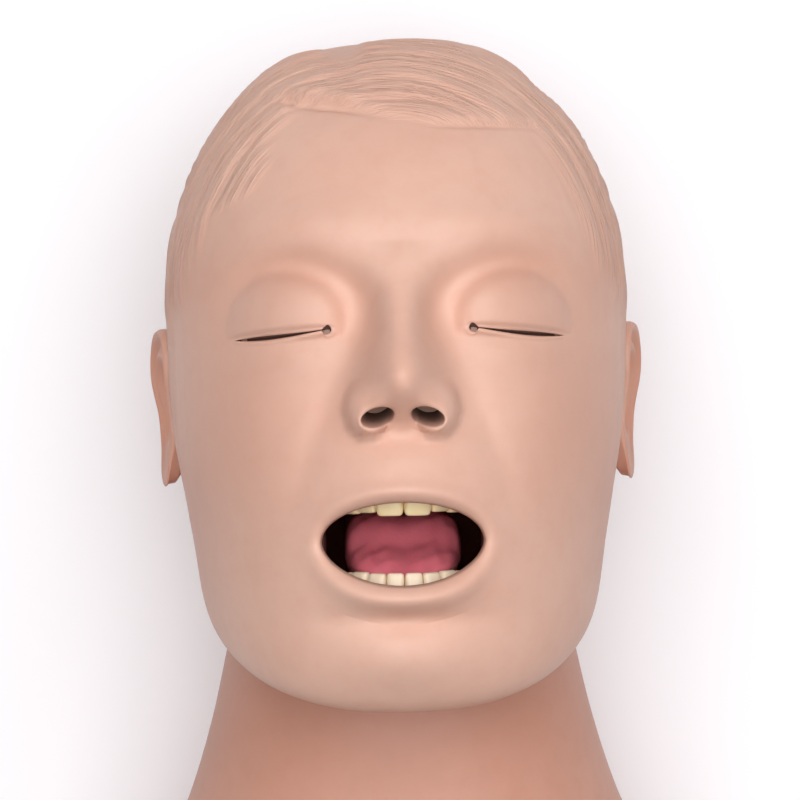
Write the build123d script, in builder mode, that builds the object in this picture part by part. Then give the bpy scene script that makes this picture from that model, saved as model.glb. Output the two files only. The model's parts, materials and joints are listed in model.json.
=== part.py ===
"""Head and neck trainer for airway management, lying face up on a table.

X runs across the face, Y from the cut shoulder end to the crown and Z up from
the table. The origin is the middle of the shoulder base's flat underside.
Lengths are in millimetres and angles in degrees.
"""
from build123d import *
from math import cos, exp, pi, radians, sin, tan
import os

os.makedirs("parts", exist_ok=True)

# Axes that the whole head is laid out from
EAR_Y = 200.0              # axis through the ears, from the middle of the base
FAN_Z = 98.0               # height at which every head section is measured
TURN_Z = 73.0              # height of the neck's middle and of the turning axis
JAW_AXIS_RISE = 2.0        # jaw hinge above the ear axis
JAW_AXIS_Z = 104.0
TILT_Y = 20.0              # neck hinge
TILT_Z = 58.0

# Skins and skull
SKIN_WALL = 3.0
SKIN_GAP = 0.6             # skin to the hard piece inside it
SKULL_WALL = 3.0
SKULL_RIM_DROP = 12.0      # rim of the skull shell below the ear axis
PLATE_FIT = 0.9            # skull plate inside the shell
PLATE_RISE = 10.0          # underside of the skull plate above the ear axis
PLATE_THICKNESS = 5.0
RUN_GAP = 0.3              # flat faces that run past each other
FIT_GAP = 0.05             # shafts in their bearings
SEAT_GAP = 0.15            # loose seats of pieces that do not move

# Head sections: height above the ear axis, tilt, half breadth, back, widest, front
HEAD_SECTIONS = [
    (124.2, 0.0, 15.0, 62.0, 78.0, 92.0),
    (121.0, 0.0, 28.5, 50.0, 79.0, 106.0),
    (115.0, 0.0, 39.5, 37.0, 81.0, 121.0),
    (106.0, 0.0, 50.0, 25.0, 83.0, 137.0),
    (95.0, 0.0, 59.8, 15.5, 85.0, 150.5),
    (88.0, 0.0, 64.3, 11.0, 86.0, 158.0),
    (78.0, 0.0, 69.3, 6.0, 88.0, 166.0),
    (66.0, 0.0, 73.4, 2.6, 89.0, 173.0),
    (54.0, 0.0, 76.3, 1.0, 90.0, 178.0),
    (42.0, 0.0, 77.6, 0.4, 91.0, 181.0),
    (32.0, 0.0, 77.9, 0.4, 91.0, 180.5),
    (22.0, 1.0, 77.6, 0.8, 91.0, 179.5),
    (12.0, 2.0, 77.2, 1.5, 91.0, 181.0),
    (5.0, 3.0, 77.0, 2.4, 90.5, 183.0),
    (-1.0, 4.5, 76.6, 3.4, 90.0, 185.5),
    (-7.0, 6.0, 76.2, 4.4, 89.5, 187.5),
    (-15.0, 8.0, 75.6, 5.6, 88.5, 190.0),
    (-23.0, 10.0, 74.6, 6.6, 87.0, 190.5),
    (-31.0, 12.5, 73.4, 7.4, 85.0, 189.5),
    (-39.0, 15.0, 71.8, 8.0, 83.0, 188.0),
    (-47.0, 17.5, 69.8, 8.5, 80.5, 186.0),
    (-55.0, 20.0, 68.0, 8.8, 78.5, 183.0),
    (-62.0, 22.0, 66.8, 9.0, 77.0, 178.0),
    (-67.0, 23.5, 66.0, 9.0, 76.0, 170.0),
    (-69.5, 24.0, 65.5, 9.0, 75.5, 160.0),
    (-70.5, 24.0, 65.2, 9.0, 75.0, 150.0),
]
OUTSIDE_POINTS = 44
INSIDE_POINTS = 26
HEAD_HALF_BREADTH = 77.9
HEAD_MIDDLE_Z = 91.0
HEAD_WIDEST_RISE = 20.0
CROWN_RISE = 124.2
JAW_FLOOR_DROP = 50.0      # the floor under the jaw turns in below this

# Features of the face
NOSE_TIP_RISE = 4.0
NOSE_HEIGHT = 28.0
NOSE_BRIDGE_RISE = 36.0
NOSE_BASE_DROP = 14.0
NOSE_HALF_WIDTH = 17.0
BRIDGE_HALF_WIDTH = 7.0
LIP_HEIGHT = 8.0
CHIN_HEIGHT = 5.0
HAIR_STEP = 1.8
HAIRLINE_RISE = 91.0
EYE_RISE = 20.0
EYE_INNER_X = 23.0
EYE_OUTER_X = 53.0
EYE_SLIT = 0.9
EYE_HOLE = 2.8
NOSTRIL_X = 7.4
NOSTRIL_DROP = 6.0
NOSTRIL_BORE = 8.0
NOSTRIL_LEAN = 6.0         # the bore leads up to the nasal passage
MOUTH_HALF_WIDTH = 25.0
MOUTH_TOP_DROP = 30.0
MOUTH_BOTTOM_DROP = 57.0
EAR_X = 79.5
EAR_Z = 88.0
EAR_SPLAY = 20.0
EAR_THICKNESS = 6.0
EAR_ROOT = 12.0            # depth of the root that joins the ear to the head
CONCH_DEPTH = 3.0
# Ear's rim: height above the ear axis and distance forwards, from the top round the back
EAR_OUTLINE = [
    (27.0, 0.0), (23.0, -10.0), (9.0, -15.5), (-7.0, -13.0), (-19.0, -7.5),
    (-28.0, -1.0), (-24.0, 6.5), (-12.0, 8.5), (0.0, 9.5), (13.0, 12.0), (23.0, 9.0),
]

# Neck and shoulder skin: place along Y, half breadth, back, widest, front, squareness
NECK_RADIUS = 60.0
NECK_RUN = 0.4             # neck skin to the hole in the head skin
NECK_TUCK = 8.0            # length of neck skin hidden inside the head skin
NECK_RIM_TILT = 24.0
NECK_SECTIONS = [
    (-37.0, 112.0, 0.6, 58.0, 130.0, 0.72),
    (0.0, 104.0, 0.6, 59.0, 130.0, 0.75),
    (30.0, 92.0, 1.5, 61.0, 130.0, 0.80),
    (63.0, 74.5, 6.0, 66.0, 130.5, 0.88),
    (90.0, 64.5, 11.0, 71.0, 131.5, 0.97),
]
ROUND_NECK_FROM = 116.0    # the neck is round between these places along Y
ROUND_NECK_TO = 190.0
NECK_POINTS = 32

# Shoulder base and its end plate
BASE_LENGTH = 64.0
BASE_WIDTH = 116.0
BASE_THICKNESS = 8.0
WALL_THICKNESS = 8.0
WALL_WIDTH = 100.0
WALL_TOP = 120.0
WALL_CORNER = 22.0
END_PLATE_THICKNESS = 5.0
TILT_PIN = 10.0
TILT_EYE = 28.0
LINK_WIDTH = 26.0
LUG_THICKNESS = 8.0

# Neck link and turning bearing
LINK_BACK_Z = 46.0
LINK_FRONT_Z = 70.0
LINK_HEAD_Z = 86.0
LINK_HEAD_LENGTH = 26.0
LINK_WEB = 10.0
SPINDLE = 16.0
BUSH_WALL = 2.0
BUSH_FLANGE = 2.0
BUSH_FLANGE_WIDTH = 27.0
BOSS = 28.0
BOSS_LENGTH = 20.0
WASHER = 25.0
WASHER_THICKNESS = 2.0
TURN_SCREW = 8.0

# Airway
TRACHEA_Z = 106.0
GULLET_Z = 81.0
TRACHEA_PIPE = 18.0        # outside of the spigots in the trachea hose
TRACHEA_WALL = 1.8
TRACHEA_RINGS = 11
RING_HEIGHT = 1.0
CUFF_LENGTH = 14.0
GULLET_PIPE = 10.0
GULLET_WALL = 1.8
HOSE_FIT = 0.2
PORT_BORE = 15.0
PORT_FLANGE = 30.0
GULLET_PORT_BORE = 7.0
GULLET_PORT_FLANGE = 18.0
FLANGE_THICKNESS = 3.0
PORT_REACH = 20.0          # spigot beyond the wall of the shoulder base
CLAMP_WALL = 1.4
CLAMP_WIDTH = 7.0
LARYNX_TOP_DROP = 97.0
LARYNX_FLANGE = 4.0
LARYNX_FLANGE_WIDTH = 31.6
LARYNX_FLANGE_DEPTH = 47.0
LARYNX_OUTSIDE = 28.0
LARYNX_BORE = 20.0
LARYNX_BARREL = 23.0
LARYNX_CONE = 6.0
SPIGOT_LENGTH = 12.0
SLEEVE_HALF_DEPTH = 14.0
SLEEVE_WALL = 2.5
SLEEVE_Z = 104.0
SLEEVE_WINDOW_TOP_DROP = 16.0
SLEEVE_WINDOW_BOTTOM_DROP = 70.0

# Mouth
ARCH_HALF_WIDTH = 24.0
ARCH_BACK_Z = 146.0
UPPER_ARCH_DEPTH = 38.0
LOWER_ARCH_DEPTH = 34.0
CHIN_ARCH_DEPTH = 29.0
ARCH_LEG = 10.0
GUM_WIDTH = 10.0
UPPER_GUM_DROP = 28.0      # underside of the upper gum below the ear axis
UPPER_TOOTH = 8.5
LOWER_GUM_DROP = 62.5
LOWER_TOOTH = 8.0
PALATE_THICKNESS = 6.0
PALATE_TOP_DROP = 14.0
SOFT_PALATE = 3.0
SOFT_PALATE_WIDTH = 28.0
GUM_STRIP = 4.0
CHIN_WIDTH = 9.0           # jaw bone below the gum strip
CHIN_BOTTOM_DROP = 80.0
MOUTH_FLOOR = 3.0
CHEEK_WALL = 1.5
CHEEK_STAND_OFF = 5.3
JAW_EYE = 14.0
JAW_PIN = 6.0
JAW_BUSH = 9.0
RAMUS_X = 46.0
RAMUS_THICKNESS = 6.6
JAW_LUG_THICKNESS = 6.0
NASAL_OUTSIDE = 11.0
NASAL_BORE = 8.0
SKULL_SCREW = 4.0
SKULL_SCREW_LENGTH = 14.0
SKULL_SCREW_HEAD = 6.8
SCREW_SINK = 1.2           # screw heads below the skull's surface
RIB_THICKNESS = 4.0
RIB_HEIGHT = 6.0
CRADLE_SCREW = 4.0
CRADLE_ARM = 6.0
END_SCREW = 5.0
JAW_POST = 16.0
JAW_POST_X = 20.0
JAW_BODY_TOP_DROP = 62.5
JAW_BODY_BOTTOM_DROP = 68.0
JAW_ANGLE_Z = 98.0
CHEEK_TOP_DROP = 22.0
CHEEK_BOTTOM_DROP = 59.5
CHEEK_FRONT_X = 17.0
NASAL_FRONT_Z = 177.5
NASAL_BACK_Z = 112.0

# Rows of teeth from the middle outwards: width along the arch and thickness
UPPER_TEETH = [(8.6, 6.0), (6.8, 5.6), (7.4, 7.0), (7.0, 8.0), (7.0, 8.0), (9.6, 9.0)]
LOWER_TEETH = [(5.6, 5.2), (6.0, 5.4), (6.8, 6.6), (7.0, 7.4), (7.0, 7.6), (10.0, 9.0)]

# Tongue sections: height, half breadth, underside and top from the ear axis
TONGUE_SECTIONS = [
    (173.0, 5.5, -65.0, -58.5),
    (170.0, 9.6, -66.0, -55.0),
    (165.0, 13.2, -66.2, -51.0),
    (159.0, 14.8, -72.0, -47.0),
    (150.0, 17.6, -76.5, -41.5),
    (141.0, 18.0, -76.5, -38.0),
    (131.0, 17.0, -69.5, -38.5),
    (123.0, 14.0, -65.0, -42.5),
    (119.0, 9.0, -60.0, -47.0),
]


def head_y(rise):
    """Place along Y of a height above the ear axis."""
    return EAR_Y + rise


def along_y(y, x=0.0, z=0.0):
    """Plane across Y with local x across the face and local y upwards."""
    return Plane(origin=(x, y, z), x_dir=(1, 0, 0), z_dir=(0, -1, 0))


def bell(distance):
    return exp(-distance * distance)


def step(distance):
    return 1.0 / (1.0 + exp(-max(-40.0, min(40.0, distance))))


def relief(x, rise, outside):
    """Height of the face's features above the plain head, at x and a rise."""
    side = abs(x)
    lips = LIP_HEIGHT * bell(x / 24) * step((-12 - rise) / 3) * step((rise + 66) / 3)
    chin = CHIN_HEIGHT * bell(x / 20) * bell((rise + 80) / 10)
    fold = -3.0 * bell(x / 22) * bell((rise + 68) / 4)
    socket = -6.0 * bell((side - 34) / 17) * bell((rise - 31) / 8)
    features = lips + chin + fold + socket
    if not outside:
        return features
    nose = 0.0
    if NOSE_TIP_RISE < rise < NOSE_BRIDGE_RISE:
        slope = (NOSE_BRIDGE_RISE - rise) / (NOSE_BRIDGE_RISE - NOSE_TIP_RISE)
        nose = NOSE_HEIGHT * slope ** 1.3
    elif -NOSE_BASE_DROP < rise <= NOSE_TIP_RISE:
        slope = (rise + NOSE_BASE_DROP) / (NOSE_TIP_RISE + NOSE_BASE_DROP)
        nose = NOSE_HEIGHT * slope ** 0.75
    widening = max(0.0, min(1.0, (NOSE_BRIDGE_RISE - rise) / (NOSE_BRIDGE_RISE + 2)))
    half = BRIDGE_HALF_WIDTH + (NOSE_HALF_WIDTH - BRIDGE_HALF_WIDTH) * widening
    nose *= exp(-((side / half) ** 2.8))
    lid = 5.0 * bell((side - 38) / 13) * bell((rise - 23) / 7)
    brow = 2.5 * bell((side - 32) / 22) * bell((rise - 44) / 6)
    cheek = 3.0 * bell((side - 46) / 16) * bell((rise + 5) / 16)
    hair = HAIR_STEP * step((rise - HAIRLINE_RISE + 0.011 * x * x) / 1.5)
    return features + nose + lid + brow + cheek + hair


def head_points(row, inset, outside, count):
    """Outline of one head section, as x and distance up its plane."""
    rise, tilt, half, back, widest, front = row
    lean = tan(radians(tilt))
    points = []
    for index in range(count):
        even = 2 * pi * (index + 0.5) / count
        angle = even + 0.3 * cos(even)
        x = half * cos(angle) * (1 - inset / HEAD_HALF_BREADTH)
        reach = front - widest if sin(angle) > 0 else widest - back
        z = widest + reach * sin(angle)
        z = HEAD_MIDDLE_Z + (z - HEAD_MIDDLE_Z) * (1 - inset / HEAD_MIDDLE_Z)
        if sin(angle) > 0:
            height = relief(x, rise - (z - FAN_Z) * lean, outside)
            z += height * sin(angle) ** 0.5
        points.append((x, (z - FAN_Z) / cos(radians(tilt))))
    return points


def head_row(rise):
    """Upright head section at a height between two rows of the list."""
    for upper, lower in zip(HEAD_SECTIONS, HEAD_SECTIONS[1:]):
        if lower[0] <= rise <= upper[0]:
            share = (rise - lower[0]) / (upper[0] - lower[0])
            mixed = [low + (high - low) * share for low, high in zip(lower, upper)]
            return (rise, 0.0, *mixed[2:])


def head_solid(inset, outside, count):
    """Loft of the head's sections, drawn in by an inset towards its middle."""
    rise_scale = 1 - inset / (CROWN_RISE - HEAD_WIDEST_RISE)
    with BuildPart(mode=Mode.PRIVATE) as solid:
        for rise, tilt, *sizes in HEAD_SECTIONS:
            if rise > HEAD_WIDEST_RISE:
                rise = HEAD_WIDEST_RISE + (rise - HEAD_WIDEST_RISE) * rise_scale
            rise += inset * step((-JAW_FLOOR_DROP - 7 - rise) / 2.5)
            plane = Plane(
                origin=(0, head_y(rise), FAN_Z),
                x_dir=(1, 0, 0),
                z_dir=(0, -cos(radians(tilt)), -sin(radians(tilt))),
            )
            with BuildSketch(plane):
                with BuildLine():
                    points = head_points((rise, tilt, *sizes), inset, outside, count)
                    Spline(*points, periodic=True)
                make_face()
        loft()
    return solid.part


def neck_points(row, inset):
    """Outline of one neck section, as x and z."""
    y, half, back, widest, front, square = row
    points = []
    for index in range(NECK_POINTS):
        angle = 2 * pi * index / NECK_POINTS
        across = abs(cos(angle)) ** square * (1 if cos(angle) > 0 else -1)
        reach = front - widest if sin(angle) > 0 else widest - back
        points.append(((half - inset) * across, widest + (reach - inset) * sin(angle)))
    return points


def neck_solid(inset):
    """Loft of the shoulder sections with the round neck on it, drawn in by an inset."""
    with BuildPart(mode=Mode.PRIVATE) as solid:
        for row in NECK_SECTIONS:
            with BuildSketch(along_y(row[0])):
                with BuildLine():
                    Spline(*neck_points(row, inset), periodic=True)
                make_face()
        with BuildSketch(along_y(ROUND_NECK_FROM, z=TURN_Z)):
            Circle(NECK_RADIUS - inset)
        loft()
        with BuildSketch(along_y(ROUND_NECK_TO, z=TURN_Z)) as round_neck:
            Circle(NECK_RADIUS - inset)
        extrude(round_neck.sketch, amount=ROUND_NECK_TO - ROUND_NECK_FROM)
    return solid.part


JAW_Y = head_y(JAW_AXIS_RISE)
PLATE_Y = head_y(PLATE_RISE)
RIM_PLANE = Plane(
    origin=(0, head_y(HEAD_SECTIONS[-1][0]) + NECK_TUCK, FAN_Z),
    x_dir=(1, 0, 0),
    z_dir=(0, -cos(radians(NECK_RIM_TILT)), -sin(radians(NECK_RIM_TILT))),
)

BASE_FRONT_Y = BASE_LENGTH / 2
WALL_BACK_Y = -BASE_LENGTH / 2
WALL_FRONT_Y = WALL_BACK_Y + WALL_THICKNESS
END_FACE_Y = WALL_BACK_Y - END_PLATE_THICKNESS
LARYNX_Y = head_y(-LARYNX_TOP_DROP)
SKULL_INSET = SKIN_WALL + SKIN_GAP
PLATE_INSET = SKULL_INSET + SKULL_WALL + PLATE_FIT
SHOULDER_Y = PLATE_Y - BOSS_LENGTH - RUN_GAP
BUSH_TOP_Y = PLATE_Y + PLATE_THICKNESS + BUSH_FLANGE
CRADLE_Y = LARYNX_Y - LARYNX_FLANGE - 11.0
CRADLE_LENGTH = 8.0
LUG_MIDDLE_X = RAMUS_X + RAMUS_THICKNESS + RUN_GAP + JAW_LUG_THICKNESS / 2
LARYNX_END_Y = LARYNX_Y - LARYNX_FLANGE - LARYNX_BARREL - LARYNX_CONE
HOSE_FRONT_Y = LARYNX_END_Y - RUN_GAP
HOSE_BACK_Y = WALL_FRONT_Y + RUN_GAP
FLANGE_Z = (TRACHEA_Z + LARYNX_OUTSIDE / 2 + GULLET_Z - GULLET_PIPE / 2 - 2) / 2
CRADLE_SCREW_Z = (LINK_BACK_Z + LINK_FRONT_Z) / 2
CRADLE_BOTTOM_Z = CRADLE_SCREW_Z - 6.0
POCKETS = [
    (TILT_Y + TILT_EYE / 2 + 4, CRADLE_Y - CRADLE_LENGTH),
    (CRADLE_Y + CRADLE_LENGTH, SHOULDER_Y - LINK_HEAD_LENGTH - 12),
]
END_SHARE = END_PLATE_THICKNESS / (NECK_SECTIONS[1][0] - NECK_SECTIONS[0][0])
END_ROW = [
    first + (second - first) * END_SHARE for first, second in zip(*NECK_SECTIONS[:2])
]
PLATE_ROW = head_row(PLATE_RISE + PLATE_THICKNESS)
SCREW_Y = PLATE_Y + PLATE_THICKNESS / 2
SCREW_ROW = head_row(PLATE_RISE + PLATE_THICKNESS / 2)
SCREW_SIDE_X = SCREW_ROW[2] * (1 - SKULL_INSET / HEAD_HALF_BREADTH) - SCREW_SINK
SCREW_FRONT_Z = HEAD_MIDDLE_Z - SCREW_SINK + (
    (SCREW_ROW[5] - HEAD_MIDDLE_Z) * (1 - SKULL_INSET / HEAD_MIDDLE_Z)
)
SCREW_BACK_Z = HEAD_MIDDLE_Z + SCREW_SINK - (
    (HEAD_MIDDLE_Z - SCREW_ROW[3]) * (1 - SKULL_INSET / HEAD_MIDDLE_Z)
)
SCREW_PLACES = [
    Plane(origin=(SCREW_SIDE_X, SCREW_Y, HEAD_MIDDLE_Z), z_dir=(1, 0, 0)),
    Plane(origin=(-SCREW_SIDE_X, SCREW_Y, HEAD_MIDDLE_Z), z_dir=(-1, 0, 0)),
    Plane(origin=(0, SCREW_Y, SCREW_FRONT_Z), z_dir=(0, 0, 1)),
    Plane(origin=(0, SCREW_Y, SCREW_BACK_Z), z_dir=(0, 0, -1)),
]
END_SCREWS = [
    (side * (WALL_WIDTH / 2 - 9), z) for side in (-1, 1) for z in (BASE_THICKNESS + 12, WALL_TOP - 34)
]


def finish(part, name):
    """Label a finished piece and write its file."""
    part.label = name
    export_step(part, f"parts/{name}.step")


def round_bar(y_from, y_to, diameter, x, z, mode=Mode.ADD):
    """Round bar along Y, or a bore of the same form."""
    with BuildSketch(along_y(y_to, x, z)) as section:
        Circle(diameter / 2)
    extrude(section.sketch, amount=y_to - y_from, mode=mode)


# Head skin: one soft vinyl moulding with face, ears and moulded hair. The neck
# comes up through a round hole in the floor under the jaw.
with BuildPart() as head_skin:
    add(head_solid(0, True, OUTSIDE_POINTS))
    for side in (-1, 1):
        ear_plane = Plane(
            origin=(side * EAR_X, head_y(0), EAR_Z),
            x_dir=(0, 1, 0),
            z_dir=(side * cos(radians(EAR_SPLAY)), 0, sin(radians(EAR_SPLAY))),
        )
        with BuildSketch(ear_plane):
            with BuildLine():
                Spline(*[(up, side * forward) for up, forward in EAR_OUTLINE], periodic=True)
            make_face()
        extrude(amount=EAR_THICKNESS / 2, both=True)
        with BuildSketch(ear_plane):
            with Locations((3, 3 * side)):
                Ellipse(20, 9)
        extrude(amount=-EAR_ROOT)
        with BuildSketch(ear_plane.offset(EAR_THICKNESS / 2)):
            with Locations((5, -2 * side)):
                Ellipse(16, 9)
        extrude(amount=-CONCH_DEPTH, mode=Mode.SUBTRACT)
    add(head_solid(SKIN_WALL, False, INSIDE_POINTS), mode=Mode.SUBTRACT)
    with BuildSketch(along_y(head_y(-20), z=TURN_Z)):
        Circle(NECK_RADIUS + NECK_RUN)
    extrude(amount=110, mode=Mode.SUBTRACT)
    with BuildSketch(Plane.XY.offset(150)):
        with BuildLine():
            Spline(
                (-MOUTH_HALF_WIDTH, head_y(-44)),
                (-12, head_y(-MOUTH_TOP_DROP - 2.5)),
                (0, head_y(-MOUTH_TOP_DROP)),
                (12, head_y(-MOUTH_TOP_DROP - 2.5)),
                (MOUTH_HALF_WIDTH, head_y(-44)),
            )
            Spline(
                (MOUTH_HALF_WIDTH, head_y(-44)),
                (13, head_y(-MOUTH_BOTTOM_DROP + 3)),
                (0, head_y(-MOUTH_BOTTOM_DROP)),
                (-13, head_y(-MOUTH_BOTTOM_DROP + 3)),
                (-MOUTH_HALF_WIDTH, head_y(-44)),
            )
        make_face()
    extrude(amount=80, mode=Mode.SUBTRACT)
    for side in (-1, 1):
        with BuildSketch(Plane.XY.offset(120)):
            with Locations((side * (EYE_INNER_X + EYE_OUTER_X) / 2, head_y(EYE_RISE))):
                Rectangle(EYE_OUTER_X - EYE_INNER_X, EYE_SLIT)
            with Locations((side * EYE_INNER_X, head_y(EYE_RISE))):
                Circle(EYE_HOLE / 2)
        extrude(amount=90, mode=Mode.SUBTRACT)
        nostril = Plane(
            origin=(side * NOSTRIL_X, head_y(-NOSTRIL_DROP), 206), x_dir=(1, 0, 0), z_dir=(0, 0, -1)
        ).rotated((NOSTRIL_LEAN, 0, 0))
        with BuildSketch(nostril.offset(-20)):
            Circle(NOSTRIL_BORE / 2)
        extrude(amount=60, mode=Mode.SUBTRACT)
finish(head_skin.part, "head_skin")

# Neck and shoulder skin: a vinyl sleeve, round where it tucks into the head skin.
with BuildPart() as neck_skin:
    add(neck_solid(0))
    add(neck_solid(SKIN_WALL), mode=Mode.SUBTRACT)
    split(bisect_by=RIM_PLANE, keep=Keep.TOP)
    with BuildSketch(Plane.XY):
        Rectangle(BASE_WIDTH + 2 * SKIN_GAP, BASE_LENGTH + 2 * SKIN_GAP)
    extrude(amount=BASE_THICKNESS + SKIN_GAP, mode=Mode.SUBTRACT)
finish(neck_skin.part, "neck_skin")

# Skull shell: hard plastic cranium that fills out the head skin, open below.
with BuildPart() as skull_shell:
    add(head_solid(SKULL_INSET, False, INSIDE_POINTS))
    add(head_solid(SKULL_INSET + SKULL_WALL, False, INSIDE_POINTS), mode=Mode.SUBTRACT)
    with BuildSketch(along_y(head_y(-SKULL_RIM_DROP))):
        with Locations((0, HEAD_MIDDLE_Z)):
            Rectangle(3 * HEAD_MIDDLE_Z, 3 * HEAD_MIDDLE_Z)
    extrude(amount=CROWN_RISE, mode=Mode.SUBTRACT)
    nose_gap = 2 * NOSTRIL_X + NASAL_OUTSIDE + 4
    with BuildSketch(Plane.XY.offset(SLEEVE_Z + 2 * SLEEVE_HALF_DEPTH)):
        with Locations((0, (head_y(-SKULL_RIM_DROP) + PLATE_Y - 1) / 2)):
            Rectangle(nose_gap, PLATE_RISE + SKULL_RIM_DROP - 1)
    extrude(amount=CROWN_RISE, mode=Mode.SUBTRACT)
    for place in SCREW_PLACES:
        with Locations(place):
            Cylinder(SKULL_SCREW / 2 + FIT_GAP, 40, mode=Mode.SUBTRACT)
            Cone(
                SKULL_SCREW / 2, SKULL_SCREW_HEAD / 2, (SKULL_SCREW_HEAD - SKULL_SCREW) / 2,
                align=(Align.CENTER, Align.CENTER, Align.MAX), mode=Mode.SUBTRACT,
            )
            Cylinder(
                SKULL_SCREW_HEAD / 2, 2 * SCREW_SINK + SKULL_WALL,
                align=(Align.CENTER, Align.CENTER, Align.MIN), mode=Mode.SUBTRACT,
            )
finish(skull_shell.part, "skull_shell")

# Skull plate: floor of the cranium, with the boss of the turning bearing and the
# two lugs of the jaw hinge moulded on.
with BuildPart() as skull_plate:
    with BuildSketch(along_y(PLATE_Y + PLATE_THICKNESS, z=FAN_Z)):
        with BuildLine():
            Spline(
                *head_points(PLATE_ROW, PLATE_INSET, False, INSIDE_POINTS), periodic=True
            )
        make_face()
    extrude(amount=PLATE_THICKNESS)
    round_bar(PLATE_Y - BOSS_LENGTH, PLATE_Y, BOSS, 0, TURN_Z)
    for side in (-1, 1):
        with BuildSketch(Plane.YZ.offset(side * LUG_MIDDLE_X)):
            with Locations((JAW_Y, JAW_AXIS_Z)):
                Circle(JAW_EYE / 2 + 2)
            with Locations(((JAW_Y + PLATE_Y) / 2, JAW_AXIS_Z)):
                Rectangle(PLATE_Y - JAW_Y, JAW_EYE + 4)
        extrude(amount=JAW_LUG_THICKNESS / 2, both=True)
        with BuildSketch(along_y(PLATE_Y, side * (BOSS / 2 + RAMUS_X) / 2, TURN_Z)):
            Rectangle(RAMUS_X - BOSS / 2 + 2, RIB_THICKNESS)
        extrude(amount=RIB_HEIGHT)
    with BuildSketch(Plane.YZ):
        with Locations((JAW_Y, JAW_AXIS_Z)):
            Circle(JAW_PIN / 2)
    extrude(amount=HEAD_HALF_BREADTH, both=True, mode=Mode.SUBTRACT)
    round_bar(
        PLATE_Y - BOSS_LENGTH, PLATE_Y + PLATE_THICKNESS,
        SPINDLE + 2 * FIT_GAP + 2 * BUSH_WALL, 0, TURN_Z, Mode.SUBTRACT,
    )
    for place in SCREW_PLACES:
        with Locations(place):
            Cylinder(
                SKULL_SCREW / 2, SKULL_SCREW_LENGTH,
                align=(Align.CENTER, Align.CENTER, Align.MAX), mode=Mode.SUBTRACT,
            )
finish(skull_plate.part, "skull_plate")

# Four countersunk screws hold the shell to the plate's edge.
with BuildPart() as skull_screws:
    for place in SCREW_PLACES:
        with Locations(place):
            Cylinder(
                SKULL_SCREW / 2, SKULL_SCREW_LENGTH, align=(Align.CENTER, Align.CENTER, Align.MAX)
            )
            Cone(
                SKULL_SCREW / 2, SKULL_SCREW_HEAD / 2 - SEAT_GAP,
                (SKULL_SCREW_HEAD - SKULL_SCREW) / 2 - SEAT_GAP,
                align=(Align.CENTER, Align.CENTER, Align.MAX),
            )
finish(skull_screws.part, "skull_screws")

# Flanged bearing bush of the turning joint, pressed into the boss.
with BuildPart() as turn_bush:
    round_bar(
        PLATE_Y - BOSS_LENGTH, PLATE_Y + PLATE_THICKNESS,
        SPINDLE + 2 * FIT_GAP + 2 * BUSH_WALL, 0, TURN_Z,
    )
    round_bar(PLATE_Y + PLATE_THICKNESS, BUSH_TOP_Y, BUSH_FLANGE_WIDTH, 0, TURN_Z)
    round_bar(
        PLATE_Y - BOSS_LENGTH, BUSH_TOP_Y, SPINDLE + 2 * FIT_GAP, 0, TURN_Z, Mode.SUBTRACT
    )
finish(turn_bush.part, "turn_bush")


def arch_band(depth, width, legs=True):
    """Horseshoe outline of a row of teeth, seen along the face."""
    with BuildSketch(mode=Mode.PRIVATE) as band:
        with Locations((0, ARCH_BACK_Z)):
            Ellipse(ARCH_HALF_WIDTH + width / 2, depth + width / 2)
            Ellipse(ARCH_HALF_WIDTH - width / 2, depth - width / 2, mode=Mode.SUBTRACT)
        with Locations((0, ARCH_BACK_Z - depth)):
            Rectangle(4 * ARCH_HALF_WIDTH, 2 * depth, mode=Mode.SUBTRACT)
        if legs:
            for side in (-1, 1):
                with Locations((side * ARCH_HALF_WIDTH, ARCH_BACK_Z - ARCH_LEG / 2)):
                    Rectangle(width, ARCH_LEG)
    return band.sketch


# Upper jaw: gum and hard palate in one, on two posts under the skull plate.
with BuildPart() as upper_jaw:
    palate_bottom = PALATE_TOP_DROP + PALATE_THICKNESS
    with BuildSketch(along_y(head_y(-palate_bottom))):
        add(arch_band(UPPER_ARCH_DEPTH, GUM_WIDTH))
    extrude(amount=UPPER_GUM_DROP - palate_bottom)
    with BuildSketch(along_y(head_y(-PALATE_TOP_DROP))):
        add(arch_band(UPPER_ARCH_DEPTH, GUM_WIDTH))
        with Locations((0, ARCH_BACK_Z)):
            Ellipse(ARCH_HALF_WIDTH, UPPER_ARCH_DEPTH)
        with Locations((0, ARCH_BACK_Z - ARCH_LEG - UPPER_ARCH_DEPTH)):
            Rectangle(4 * ARCH_HALF_WIDTH, 2 * UPPER_ARCH_DEPTH, mode=Mode.SUBTRACT)
    extrude(amount=PALATE_THICKNESS)
    with BuildSketch(along_y(PLATE_Y)):
        for side in (-1, 1):
            with Locations((side * JAW_POST_X, ARCH_BACK_Z - ARCH_LEG + JAW_POST / 2)):
                RectangleRounded(JAW_POST / 2, JAW_POST, 2)
    extrude(amount=PLATE_RISE + PALATE_TOP_DROP)
finish(upper_jaw.part, "upper_jaw")


def tooth_places(depth, sizes):
    """Middle and direction of each tooth along the arch, from the front outwards."""
    places = []
    turn = 90.0
    for width, thickness in sizes:
        middle = None
        walked = 0.0
        while walked < width:
            angle = radians(turn)
            walked += radians(0.5) * (
                (ARCH_HALF_WIDTH * sin(angle)) ** 2 + (depth * cos(angle)) ** 2
            ) ** 0.5
            turn -= 0.5
            if middle is None and walked >= width / 2:
                middle = turn
        angle = radians(middle)
        x = ARCH_HALF_WIDTH * cos(angle)
        z = ARCH_BACK_Z + depth * sin(angle)
        along = Vector(ARCH_HALF_WIDTH * sin(angle), 0, -depth * cos(angle)).normalized()
        places.append((x, z, along, width, thickness))
    return places


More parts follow.
